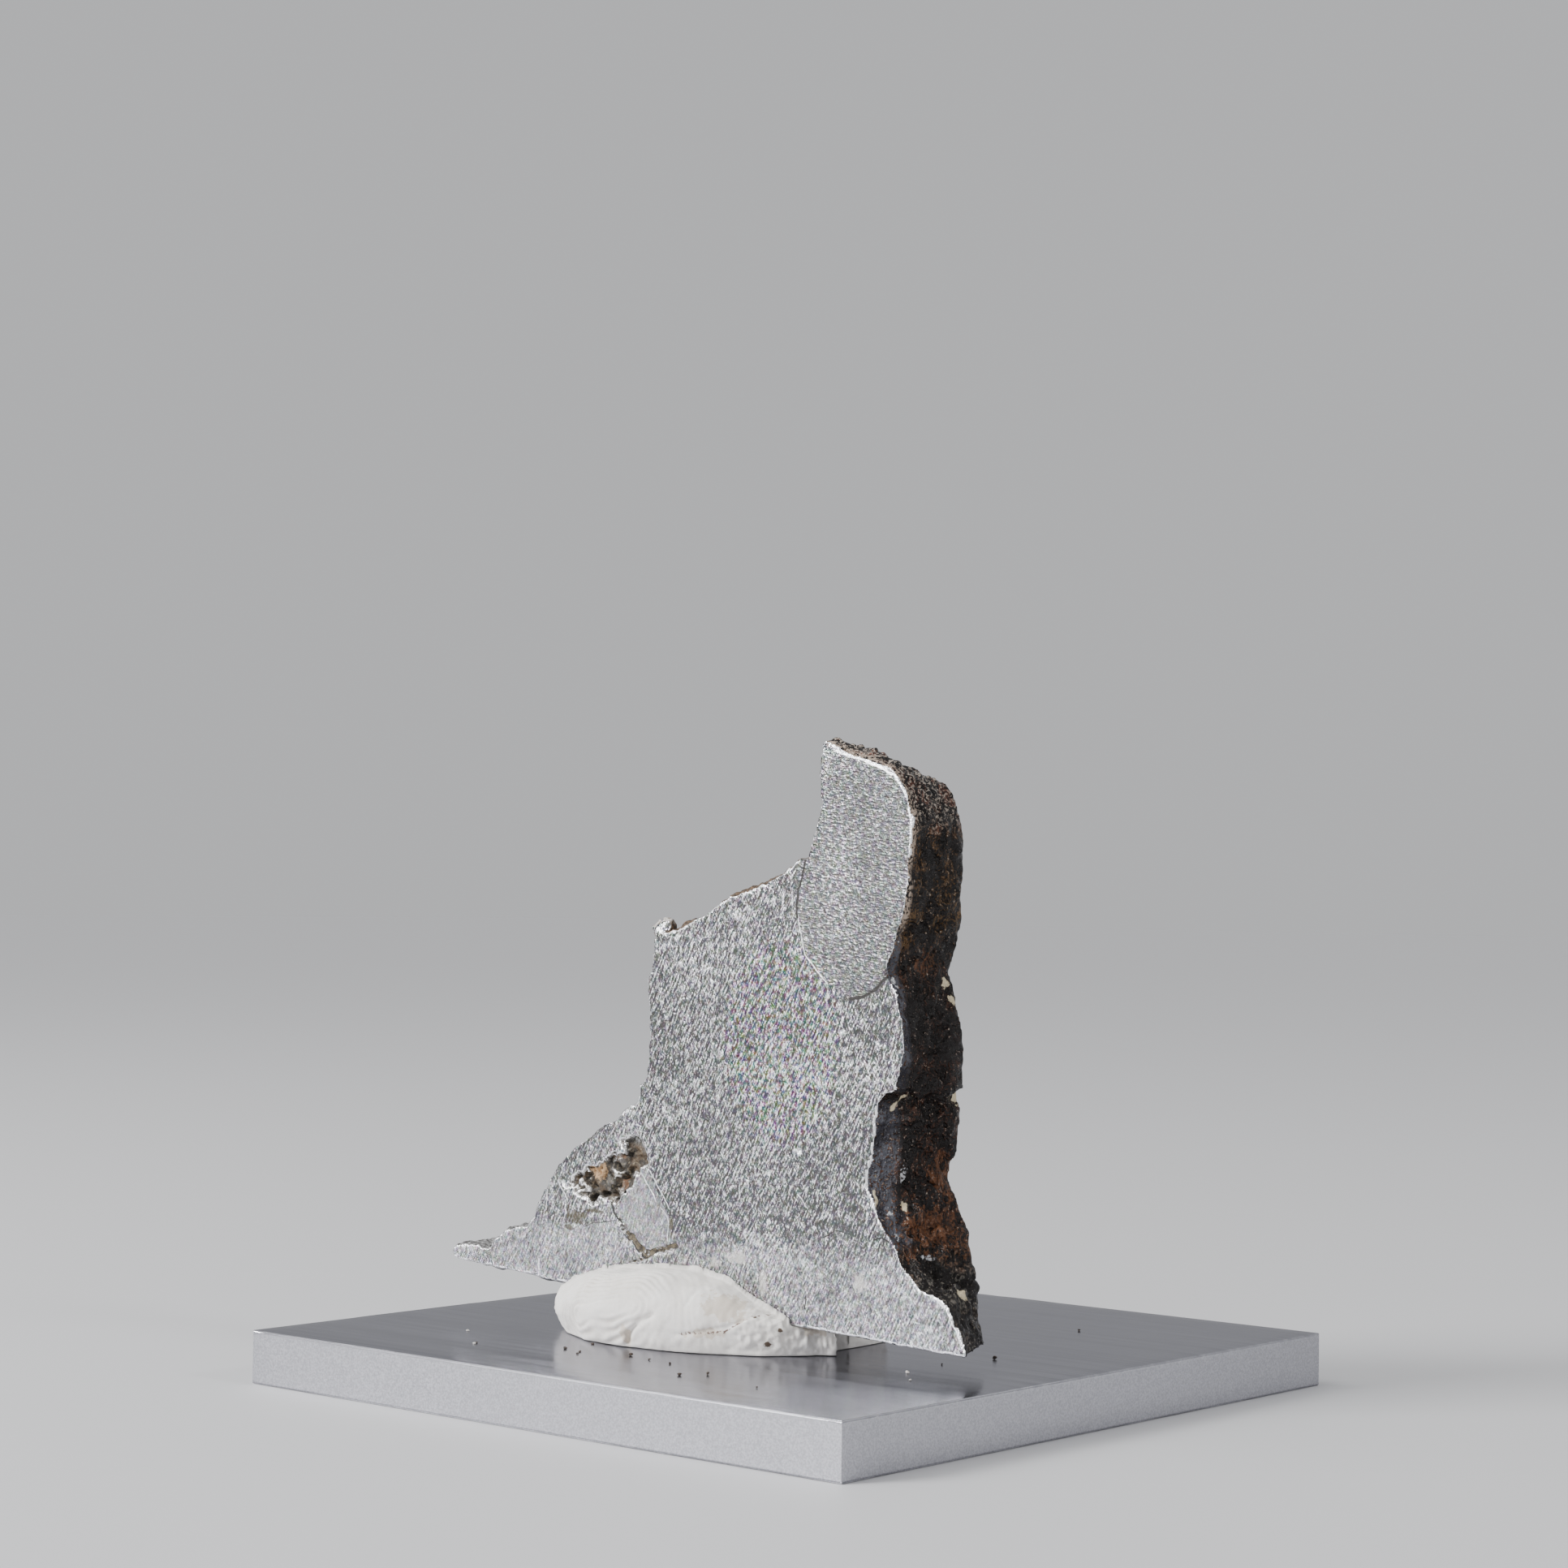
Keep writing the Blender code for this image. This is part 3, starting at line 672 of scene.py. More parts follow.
def build_line_group():
    """One straight line between two points, on the face or in space."""
    inputs = {"Place": None, "Start": None, "End": None, "Half width": 0.05}
    shade, given, result = new_group("line", inputs)
    point = shade.vector("SUBTRACT", given["Place"], given["Start"])
    along = shade.vector("SUBTRACT", given["End"], given["Start"])
    length = shade.vector("DOT_PRODUCT", along, along)
    share = shade.math("DIVIDE", shade.vector("DOT_PRODUCT", point, along), length, clamp=True)
    nearest = shade.node("ShaderNodeVectorMath", {0: along, "Scale": share}, operation="SCALE").outputs[0]
    away = shade.math("DIVIDE", shade.vector("DISTANCE", point, nearest), given["Half width"])
    shade.feed(result, shade.rise(away, 0.6, 1.4, 1.0, 0.0))


def routes_mask(shade, place, routes):
    """Mask of all the lines in a list of (half width, points), on the face or in space."""
    strongest = 0.0
    for half, route in routes:
        points = [(point[0], point[1] if len(point) == 3 else 0.0, point[-1]) for point in route]
        for start, end in zip(points, points[1:]):
            line = shade.group("line", place=place, start=start, end=end, half_width=half)
            strongest = shade.largest(strongest, line)
    return strongest


def spots_mask(shade, place, ragged, spots):
    """Mask of all the spots in a list of (centre, half size)."""
    strongest = 0.0
    for centre, half in spots:
        spot = shade.group("spot", place=place, centre=centre, half_size=half, ragged=ragged)
        strongest = shade.largest(strongest, spot)
    return strongest


def new_material(name):
    """A new material with a Principled shader, and what adds nodes to it."""
    material = bpy.data.materials.new(name)
    material.use_nodes = True
    shade = Shade(material.node_tree)
    return material, shade, material.node_tree.nodes["Principled BSDF"]


def object_place(shade, origin=(0.0, 0.0, 0.0), turn=0.0):
    """Object coordinates in mm, from a point and turned about Z."""
    place = shade.node("ShaderNodeTexCoord").outputs["Object"]
    mapping = {"Vector": place, "Location": origin, "Rotation": (0.0, 0.0, turn), "Scale": (MM, MM, MM)}
    return shade.node("ShaderNodeMapping", mapping, vector_type="TEXTURE").outputs[0]


def slice_place(shade):
    """Place in the slice's frame in mm, and its three parts."""
    place = object_place(shade, SLICE_ORIGIN, SLICE_YAW)
    split = shade.node("ShaderNodeSeparateXYZ", {"Vector": place}).outputs
    return place, split["X"], split["Y"], split["Z"]


def strokes(shade, place, degrees, width, length):
    """Scratches at an angle on the face, with their width and length in mm."""
    return shade.group("strokes", place=place, turn=math.radians(degrees), width=width, length=length)


def ground_texture(shade, place, level_share):
    """Grinding marks: steep strokes, level ones by a share, others across them, and fine grains between."""
    steep = strokes(shade, place, 64.0, 0.13, 0.70)
    across = strokes(shade, place, 115.0, 0.12, 0.36)
    level = strokes(shade, place, -8.0, 0.12, 0.40)
    fine = shade.noise(place, 0.12, 2.0, 0.6)
    return shade.total((shade.mix(level_share, steep, level), 0.5), (across, 0.3), (fine, 0.2)), fine


def ground_metal(shade, tone, settings):
    """Colour of the ground metal, whose tone carries painted sparkle. Equal steps of the tone look equal,
    from 0 to 1.
    """
    tone = shade.math("MINIMUM", shade.largest(tone, 0.0), 1.0)
    share = shade.math("POWER", METAL_RANGE, shade.math("SUBTRACT", tone, 1.0))
    return shade.colour(share, settings.metal_dark, settings.metal_bright)


def painted_glint_curls(shade, place):
    """Mask of the thin bright curls left between the grinding marks, painted into the colour as glints."""
    noisy = shade.noise(place, 0.40, 1.0, 0.5, curl=1.0)
    return shade.rise(shade.math("ABSOLUTE", shade.math("SUBTRACT", noisy, 0.5)), 0.0, 0.08, 1.0, 0.0)


def burr_and_highlight_mask(shade, fine):
    """Mask of the bright burr along the rims of the cuts, partly a painted edge highlight."""
    rim = shade.node("ShaderNodeAttribute", attribute_name="cut edge").outputs["Fac"]
    return shade.rise(shade.total((fine, 0.8), start=rim), 0.95, 1.25)


def finish_surface(shade, shader, colour, metallic, rough, height, depth, strength):
    """Feed the Principled shader with a colour, its finish and a bump in mm."""
    shade.feed(shader.inputs["Base Color"], colour)
    shade.feed(shader.inputs["Metallic"], metallic)
    shade.feed(shader.inputs["Roughness"], rough)
    bump = shade.node("ShaderNodeBump", {"Strength": strength, "Distance": depth * MM, "Height": height})
    shade.feed(shader.inputs["Normal"], bump.outputs[0])


def build_front_material(settings):
    """Ground iron of the front cut, with its grains, cracks, smears and rusty cavity, and painted sparkle,
    glints and sheen.
    """
    material, shade, shader = new_material("ground iron, front")
    place, along, depth, up = slice_place(shade)
    cloud = shade.noise(place, 2.5, 3.0)
    speck = shade.noise(place, 0.25, 3.0, 0.65)
    ragged = shade.ragged(place, 0.35, 2.4)

    # Grains of the metal
    horn = shade.border(up, along, HORN_BORDER, 0.1)
    lens = shade.times(
        shade.border(up, along, LENS_LOW, 0.05),
        shade.border(up, along, LENS_HIGH, 0.05, 1.0, 0.0),
        shade.band(along, -7.3, -7.1, -2.3, -2.1),
    )
    low_wing = shade.border(up, along, WING_BORDER, 0.1, 1.0, 0.0)
    low_wing = shade.times(shade.rise(along, -7.0, -6.6, 1.0, 0.0), low_wing)
    low_zone = shade.rise(shade.total((cloud, 3.0), start=up), 11.0, 13.0, 0.8, 0.0)
    high_wing = shade.rise(along, -6.6, -5.2, 0.45, 0.0)
    smooth = shade.largest(shade.times(horn, 0.6), lens, low_zone, high_wing, low_wing)

    # Grinding marks, curls and gouges, painted into the colour as sparkle and glints, and the fine colours in
    # them
    texture, fine = ground_texture(shade, place, horn)
    level = shade.total((smooth, 0.31), (horn, -0.33), start=0.21)
    contrast = shade.math("ADD", shade.mix(lens, shade.mix(smooth, 9.0, 3.2), 2.2), horn)
    tone = shade.swing(texture, contrast, level)
    tone = shade.total((painted_glint_curls(shade, place), shade.mix(smooth, 0.45, 0.20)), start=tone)
    tone = shade.swing(shade.noise(place, 8.0, 1.0), 0.7, shade.swing(cloud, 0.6, tone))
    gouges = shade.rise(strokes(shade, place, 62.0, 0.24, 1.4), 0.32, 0.42, 0.28, 0.0)
    tone = shade.math("SUBTRACT", tone, shade.times(gouges, shade.rest(smooth)))
    metal = ground_metal(shade, tone, settings)
    tint = shade.noise(place, 0.34, 2.0, output="Color")
    tint = shade.vector("MULTIPLY_ADD", tint, (2.6, 2.6, 2.6), (-0.8, -0.8, -0.8))
    # Painted sheen: the coloured flecks are stronger where the light falls on the face
    sheen_flecks = spots_mask(shade, place, 0.0, (SHEEN_FLECK_ZONE,))
    metal = shade.colour(shade.mix(sheen_flecks, 0.16, 0.50), metal, tint, "OVERLAY")

    # Bright lines and burr, partly painted highlights along the rims, smears and stains
    wave = shade.noise(place, 0.7, 2.0, output="Color")
    wave = shade.vector("MULTIPLY_ADD", wave, (0.3, 0.0, 0.3), (-0.15, 0.0, -0.15))
    flat = shade.vector("MULTIPLY_ADD", place, (1.0, 0.0, 1.0), wave)
    bright = shade.largest(routes_mask(shade, flat, BRIGHT_LINES), burr_and_highlight_mask(shade, fine))
    metal = shade.colour(bright, metal, BURR_AND_EDGE_HIGHLIGHT)
    smears = shade.times(spots_mask(shade, place, ragged, PALE_SMEARS), 0.6)
    metal = shade.colour(smears, metal, (0.72, 0.69, 0.64))
    stains = shade.times(spots_mask(shade, place, ragged, OLIVE_STAINS), 0.8)
    metal = shade.colour(stains, metal, (0.10, 0.088, 0.058))

    # Mineral in the cavity
    mineral = shade.rise(shade.noise(place, 1.2, 4.0, 0.6), 0.45, 0.62)
    mineral = shade.colour(mineral, (0.030, 0.025, 0.019), (0.085, 0.055, 0.030))
    mineral = shade.colour(shade.rise(speck, 0.52, 0.72), mineral, (0.22, 0.18, 0.12))
    stained = shade.times(spots_mask(shade, place, ragged, BROWN_STAINS), 0.8)
    mineral = shade.colour(stained, mineral, (0.19, 0.085, 0.035))
    golden = spots_mask(shade, place, shade.times(ragged, 0.5), GOLDEN_SHARD)
    mineral = shade.colour(golden, mineral, (0.50, 0.32, 0.17))

    # Pale crumbs and grime on the cavity's walls
    in_cavity = spots_mask(shade, place, 0.0, (CAVITY_ZONE,))
    left = shade.rise(along, -9.2, -7.6, 1.0, 0.15)
    crumb = shade.largest(left, spots_mask(shade, place, 0.0, PALE_CRUMBS))
    crumb = shade.times(in_cavity, shade.rise(depth, 0.03, 0.06), crumb)
    crumb = shade.times(crumb, shade.rise(shade.total((speck, 1.2), start=ragged), 0.45, 0.75))
    metal = shade.colour(crumb, metal, (0.88, 0.87, 0.84))
    grimy = shade.times(shade.rise(depth, 0.02, 0.06), shade.math("SUBTRACT", in_cavity, crumb), 0.8)
    metal = shade.colour(grimy, metal, (0.10, 0.085, 0.065))
    behind = shade.total((speck, 0.16), start=shade.math("SUBTRACT", depth, 0.08))
    hollow = shade.times(in_cavity, shade.rise(behind, 0.12, 0.30))
    colour = shade.colour(hollow, metal, mineral)

    # Filled cracks and open ones
    strip = routes_mask(shade, flat, MINERAL_CRACKS)
    filling = shade.colour(shade.rise(speck, 0.35, 0.6), (0.030, 0.023, 0.015), (0.15, 0.12, 0.075))
    filling = shade.colour(shade.rise(strip, 0.2, 0.9), (0.012, 0.010, 0.008), filling)
    dirty = shade.rise(strip, 0.0, 0.25)
    colour = shade.colour(dirty, colour, filling)
    crack = routes_mask(shade, flat, OPEN_CRACKS)
    colour = shade.colour(crack, colour, (0.012, 0.009, 0.007))
    soiled = shade.largest(hollow, dirty, crack)
    rough = shade.mix(soiled, shade.mix(fine, 0.20, 0.40), 0.6)
    finish_surface(shade, shader, colour, shade.rest(soiled), rough, texture, 0.14, 1.0)
    return material


def build_back_material(settings):
    """Ground iron of the back cut and the sawn foot, with painted sparkle and glints in its colour."""
    material, shade, shader = new_material("ground iron, back")
    place = slice_place(shade)[0]
    cloud = shade.noise(place, 3.5, 4.0)
    texture, fine = ground_texture(shade, place, shade.rise(cloud, 0.40, 0.60))
    # Grinding marks and curls painted into the colour as sparkle and glints
    tone = shade.total((painted_glint_curls(shade, place), 0.25), start=shade.swing(texture, 3.6, 0.46))
    metal = ground_metal(shade, shade.swing(cloud, 0.6, tone), settings)
    metal = shade.colour(burr_and_highlight_mask(shade, fine), metal, BURR_AND_EDGE_HIGHLIGHT)
    finish_surface(shade, shader, metal, 1.0, shade.mix(fine, 0.20, 0.40), texture, 0.14, 1.0)
    return material


def build_crust_material(settings):
    """Dark glossy crust: streaked brown, rusty low down and speckled at the top corner, with painted glints
    and a painted blue-grey reflection.
    """
    material, shade, shader = new_material("crust")
    place, along, depth, up = slice_place(shade)
    speck = shade.noise(place, 0.19, 2.0, 0.6)
    lump = shade.noise(place, 1.5, 4.0, 0.6)
    streak = shade.noise(shade.vector("DIVIDE", place, (0.22, 0.22, 0.9)), 1.0, 3.0, 0.6)
    height = shade.swing(lump, 5.0, up)
    share = shade.rise(shade.total((speck, 1.1), (streak, 0.9), (lump, 1.2), start=-0.45), 1.12, 1.50)
    colour = shade.colour(share, settings.crust_dark, shade.ramp(height, CRUST_TONES))
    ragged = shade.ragged(place, 0.35, 3.0)
    worn = shade.rise(shade.total((speck, 0.3), (streak, 0.7)), 0.36, 0.62)
    patches = shade.times(spots_mask(shade, place, ragged, RUST_PATCHES), worn)
    colour = shade.colour(patches, colour, settings.rust)

    # Pale grains of the top corner and the tan strip along the front edge, and scattered painted glints
    corner = shade.times(shade.rise(height, 36.0, 38.0), shade.rise(speck, 0.52, 0.60))
    corner = shade.times(corner, shade.rise(depth, 4.4, 5.2, 1.0, 0.5))
    colour = shade.colour(corner, colour, (0.42, 0.36, 0.30))
    strip = shade.times(shade.rise(depth, 0.25, 0.6, 1.0, 0.0), shade.rise(up, 29.5, 31.0))
    colour = shade.colour(shade.times(strip, shade.rise(speck, 0.42, 0.54)), colour, (0.42, 0.33, 0.26))
    painted_glints = shade.times(shade.rise(speck, 0.61, 0.70), shade.rise(streak, 0.47, 0.62))
    colour = shade.colour(painted_glints, colour, (0.36, 0.31, 0.26))

    # Glassy crust of the bevel under the ledge, and more of it along the front edge above, with a painted
    # blue-grey reflection
    bevel = shade.times(shade.rise(depth, 0.9, 1.5, 1.0, 0.0), shade.band(up, 10.5, 11.5, 19.3, 20.0))
    edge = shade.times(shade.rise(depth, 0.4, 0.9, 1.0, 0.0), shade.band(up, 20.0, 21.0, 29.5, 30.5))
    glass_and_sheen = shade.largest(bevel, edge)
    glass_sheen_tone = shade.colour(shade.rise(lump, 0.42, 0.60), (0.022, 0.020, 0.028), (0.085, 0.088, 0.105))
    colour = shade.colour(shade.times(glass_and_sheen, shade.rise(speck, 0.62, 0.50)), colour, glass_sheen_tone)

    # Grey grains, mostly painted glints, and cream dust
    grey = shade.times(spots_mask(shade, place, ragged, GREY_GRAINS_AND_GLINTS), shade.rise(speck, 0.42, 0.56))
    colour = shade.colour(grey, colour, (0.60, 0.61, 0.63))
    wave = shade.noise(place, 0.6, 2.0, output="Color")
    wave = shade.vector("MULTIPLY_ADD", wave, (0.4, 0.4, 0.4), (-0.2, -0.2, -0.2))
    cream = routes_mask(shade, shade.vector("ADD", place, wave), CREAM_LINES)
    cream = shade.largest(spots_mask(shade, place, ragged, CREAM_SPOTS), cream)
    dust = shade.colour(speck, (0.50, 0.38, 0.20), (0.92, 0.84, 0.64))
    colour = shade.colour(cream, colour, dust)
    rough = shade.mix(shade.rise(lump, 0.35, 0.60), 0.08, 0.24)
    rough = shade.mix(cream, shade.mix(glass_and_sheen, rough, 0.16), 0.8)
    bumps = shade.total((streak, 0.6), (speck, 0.6), start=lump)
    finish_surface(shade, shader, colour, 0.0, rough, bumps, 0.34, 1.0)
    shader.inputs["Specular IOR Level"].default_value = 0.28
    return material


def build_broken_material():
    """Torn sides: light grey metal, brown along the shoulder and whitish at the nub."""
    material, shade, shader = new_material("torn iron")
    place, along, _, up = slice_place(shade)
    speck = shade.noise(place, 0.20, 3.0, 0.65)
    lump = shade.noise(place, 0.8, 4.0, 0.65)
    grain = shade.total((lump, 0.3), (speck, 0.7))
    grey = shade.colour(shade.rise(grain, 0.38, 0.62), (0.12, 0.115, 0.11), (0.48, 0.475, 0.47))
    grey = shade.colour(shade.rise(speck, 0.58, 0.70), grey, (0.72, 0.71, 0.69))
    brown = shade.colour(shade.rise(speck, 0.42, 0.62), (0.035, 0.022, 0.014), (0.19, 0.12, 0.07))
    shoulder = shade.rise(shade.swing(lump, 4.0, up), 28.2, 29.6)
    shoulder = shade.times(shoulder, shade.rise(along, 7.8, 8.4, 1.0, 0.0))
    colour = shade.colour(shoulder, grey, brown)
    whitish = shade.colour(shade.rise(speck, 0.35, 0.65), (0.20, 0.16, 0.13), (0.74, 0.71, 0.67))
    colour = shade.colour(spots_mask(shade, place, 0.0, (NUB_ZONE,)), colour, whitish)
    colour = shade.colour(spots_mask(shade, place, 0.0, (NUB_FOOT,)), colour, brown)
    metallic = shade.times(shade.rest(shoulder), 0.7)
    finish_surface(shade, shader, colour, metallic, shade.mix(lump, 0.35, 0.65), speck, 0.10, 0.8)
    return material


class SliceSettings(bpy.types.PropertyGroup):
    """Sizes and colours of the slice."""

    voxel: bpy.props.FloatProperty(
        name="Voxel", description="Size of the voxels that the slice's relief is cut in",
        default=0.14 * MM, min=0.08 * MM, max=1.0 * MM, precision=6, unit="LENGTH",
    )
    triangles: bpy.props.IntProperty(
        name="Triangles", description="Most triangles that the slice may have", default=190000, min=1000,
    )
    metal_dark: bpy.props.FloatVectorProperty(
        name="Metal, dark", description="Darkest tone of the ground metal",
        default=(0.02, 0.02, 0.021), subtype="COLOR", min=0.0, max=1.0,
    )
    metal_bright: bpy.props.FloatVectorProperty(
        name="Metal, bright", description="Brightest tone of the ground metal",
        default=(0.95, 0.95, 0.97), subtype="COLOR", min=0.0, max=1.0,
    )
    crust_dark: bpy.props.FloatVectorProperty(
        name="Crust, dark", description="Darkest tone of the crust",
        default=(0.006, 0.004, 0.0035), subtype="COLOR", min=0.0, max=1.0,
    )
    rust: bpy.props.FloatVectorProperty(
        name="Rust", description="Colour of the rust patches on the crust",
        default=(0.15, 0.060, 0.026), subtype="COLOR", min=0.0, max=1.0,
    )


class PuttySettings(bpy.types.PropertyGroup):
    """Sizes and colours of the putty."""

    voxel: bpy.props.FloatProperty(
        name="Voxel", description="Size of the voxels that the finger marks are cut in",
        default=0.12 * MM, min=0.08 * MM, max=1.0 * MM, precision=6, unit="LENGTH",
    )
    colour: bpy.props.FloatVectorProperty(
        name="Colour", description="Colour of the clean putty",
        default=(0.92, 0.90, 0.86), subtype="COLOR", min=0.0, max=1.0,
    )
    shade: bpy.props.FloatVectorProperty(
        name="Darker colour", description="Colour of the putty's duller patches",
        default=(0.85, 0.82, 0.77), subtype="COLOR", min=0.0, max=1.0,
    )
    # Painted shade: this colour darkens the putty between the finger ridges, and lightly tints its fine
    # mottle
    valley: bpy.props.FloatVectorProperty(
        name="Between ridges", description="Colour that gathers between the finger ridges",
        default=(0.50, 0.44, 0.37), subtype="COLOR", min=0.0, max=1.0,
    )
    ridge_spacing: bpy.props.FloatProperty(
        name="Ridge spacing", description="Distance from one finger ridge to the next",
        default=0.46 * MM, min=0.3 * MM, max=0.8 * MM, precision=6, unit="LENGTH",
    )
    ridge_height: bpy.props.FloatProperty(
        name="Ridge height", description="Half the height from a valley to a ridge",
        default=0.085 * MM, min=0.0, max=0.1 * MM, precision=6, unit="LENGTH",
    )


class PlateSettings(bpy.types.PropertyGroup):
    """Sizes and colours of the plate."""

    rounding: bpy.props.FloatProperty(
        name="Rounding", description="Radius of the plate's hand-rounded edges",
        default=0.8 * MM, min=0.1 * MM, max=1.5 * MM, precision=6, unit="LENGTH",
    )
    colour: bpy.props.FloatVectorProperty(
        name="Colour", description="Colour of the aluminium",
        default=(0.62, 0.62, 0.66), subtype="COLOR", min=0.0, max=1.0,
    )
    dark: bpy.props.FloatVectorProperty(
        name="Darker lines", description="Colour of the aluminium in its scratches",
        default=(0.44, 0.44, 0.48), subtype="COLOR", min=0.0, max=1.0,
    )


class StageSettings(bpy.types.PropertyGroup):
    """Floor, light and camera."""

    key_power: bpy.props.FloatProperty(
        name="Key light", description="Power of the large soft light at the front left",
        default=4.6, min=0.0, unit="POWER",
    )
    side_power: bpy.props.FloatProperty(
        name="Side light", description="Power of the small light at the right that glints on the crust",
        default=0.45, min=0.0, unit="POWER",
    )
    sun_strength: bpy.props.FloatProperty(
        name="Soft sun", description="Strength of the wide soft light over the whole floor",
        default=1.3, min=0.0,
    )
    backdrop: bpy.props.FloatVectorProperty(
        name="Backdrop", description="Colour and light of the plain backdrop",
        default=(0.55, 0.555, 0.57), subtype="COLOR", min=0.0, max=1.0,
    )
    floor: bpy.props.FloatVectorProperty(
        name="Floor", description="Colour of the floor", default=(0.62, 0.62, 0.63), subtype="COLOR",
        min=0.0, max=1.0,
    )


def finish_piece(piece, node, slot, *materials):
    """Smooth a finished piece, give it its materials and put it in the CAD node's place."""
    select_only(piece)
    bpy.ops.object.shade_smooth()
    piece.data.materials.clear()
    for material in materials:
        piece.data.materials.append(material)
    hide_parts(node)
    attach(piece, "root")


def near_edge(mesh, marked, rounds):
    """Vertices within this many edges of the marked ones."""
    edges = np.empty(len(mesh.edges) * 2, np.int32)
    mesh.edges.foreach_get("vertices", edges)
    first, second = edges.reshape(-1, 2).T
    for _ in range(rounds):
        grown = marked.copy()
        grown[first] |= marked[second]
        grown[second] |= marked[first]
        marked = grown
    return marked


def mark_cut_edges(mesh):
    """Store which vertices lie on the rims of the cuts, for the bright burr there, partly a painted edge
    highlight.
    """
    places = to_slice(vertex_data(mesh, "co"))
    depth = places[:, 1]
    outward = np.linalg.norm((vertex_data(mesh, "normal") @ SLICE_AXES)[:, (0, 2)], axis=1)
    on_rim = ((depth < RIM_DEPTH) | (depth > SLICE_THICKNESS - RIM_DEPTH)) & (outward > 0.2)
    for width, route in MINERAL_CRACKS + OPEN_CRACKS:
        on_rim &= distance_to_route(places[:, (0, 2)], route) >= width + RIM_CLEAR
    rim = mesh.attributes.new("cut edge", "FLOAT", "POINT")
    rim.data.foreach_set("value", on_rim.astype(np.float32))


def share_out_materials(mesh):
    """Give each polygon of the slice its material: front, back and foot, crust or torn side."""
    count = len(mesh.polygons)
    centres, normals = np.empty(count * 3, np.float32), np.empty(count * 3, np.float32)
    mesh.polygons.foreach_get("center", centres)
    mesh.polygons.foreach_get("normal", normals)
    places = to_slice(centres.reshape(-1, 3).astype(float))
    normals = normals.reshape(-1, 3).astype(float) @ SLICE_AXES
    along, depth, up = places.T
    face = places[:, (0, 2)]
    cavity = near_cavity(face, 0.6) & (depth < 2.0) & (inside_outline(face, CAVITY) | (normals[:, 1] < -0.5))
    front = (normals[:, 1] < -0.8) & (depth < 0.45) | cavity
    back = (normals[:, 1] > 0.8) & (depth > SLICE_THICKNESS - 0.45)
    back |= (normals[:, 2] < -0.8) & ((up < foot_height(along) + 0.2) | (along < FOOT_LEFT))
    crusted = along + 0.3 * np.sin(up * 9.0) > np.mean(CRUST_START)
    kinds = np.where(front, 0, np.where(back, 1, np.where(crusted, 2, 3)))
    mesh.polygons.foreach_set("material_index", kinds.astype(np.int32))


class METEORITE_OT_effects(bpy.types.Operator):
    """Build the effects that more than one material uses, as node groups"""

    bl_idname = "meteorite.effects"
    bl_label = "Shared effects"

    def execute(self, context):
        build_strokes_group()
        build_spot_group()
        build_line_group()
        return {"FINISHED"}


class METEORITE_OT_slice(bpy.types.Operator):
    """Build the meteorite slice over its CAD solid"""

    bl_idname = "meteorite.slice"
    bl_label = "Meteorite slice"

    def execute(self, context):
        settings = context.scene.meteorite_slice
        piece = copy_of_node("meteorite_slice", "iron_slice")
        remesh(piece, settings.voxel)
        soften_crust(piece)
        roughen_sides(piece.data)
        carve_cavity(piece.data)
        fill_mineral_cracks(piece.data)
        thin_faces(piece, settings)
        mark_cut_edges(piece.data)
        finish_piece(
            piece, "meteorite_slice", "meteorite_iron",
            build_front_material(settings), build_back_material(settings),
            build_crust_material(settings), build_broken_material(),
        )
        share_out_materials(piece.data)
        return {"FINISHED"}


def soften_putty(piece):
    """Smooth the lump's free surface."""
    places = to_slice(vertex_data(piece.data, "co"))
    free = ~beside_slice(places, 0.42, 0.42) & (places[:, 2] >= PLATE_TOP + PUTTY_GAP + 0.1)
    apply_where(piece, free, "SMOOTH", factor=0.5, iterations=60)


def lean_putty(piece):
    """Tuck in the foot of the lump's left end, and pull its right end forward to a blunt tail."""
    mesh = piece.data
    places = to_slice(vertex_data(mesh, "co"))
    along, depth, up = places.T
    tuck = (1.0 - smooth_step(up, PLATE_TOP, PLATE_TOP + 1.5)) * smooth_step(along, -5.5, -8.5)
    behind = smooth_step(depth, 2.5, 5.0)
    pull = np.interp(along, *zip(*TAIL_PULL)) * smooth_step(depth, 7.5, 3.0)
    grow = TAIL_GROWTH * smooth_step(along, 8.5, 10.2) * (1.0 - behind)
    shrink = TAIL_BLUNT * np.maximum(along - TAIL_START, 0.0) * behind
    along += PUTTY_TUCK * tuck + grow - shrink
    depth -= pull
    under = 1.0 - smooth_step(up, PLATE_TOP + 0.3, PLATE_TOP + 1.3)
    along -= TAIL_UNDERCUT * under * smooth_step(along, 9.0, 10.6) * (1.0 - behind)
    move_vertices(mesh, from_slice(places))
    tail = (along > TAIL_START) & (up > PLATE_TOP + PUTTY_GAP + 0.1)
    apply_where(piece, tail, "SMOOTH", factor=0.5, iterations=50)


def fit_putty(mesh):
    """Bring the slot's walls and floor and the putty's base close to what they touch."""
    places = to_slice(vertex_data(mesh, "co"))
    along, depth, up = places.T
    foot = foot_height(along)
    in_slot = beside_slice(places, PUTTY_GAP + 0.1, 2.0)
    up += np.where(in_slot, PUTTY_CLOSE * smooth_step(up - foot, -1.2, -PUTTY_GAP), 0.0)
    depth += PUTTY_CLOSE * smooth_step(depth, -1.3, -PUTTY_GAP) * (depth < SLICE_THICKNESS / 2)
    behind = depth - SLICE_THICKNESS
    depth -= PUTTY_CLOSE * (1.0 - smooth_step(behind, PUTTY_GAP, 1.3)) * (behind > 0.0)
    base = PLATE_TOP + PUTTY_GAP
    up -= PUTTY_CLOSE * (1.0 - smooth_step(up, base, base + 0.8))
    move_vertices(mesh, from_slice(places))


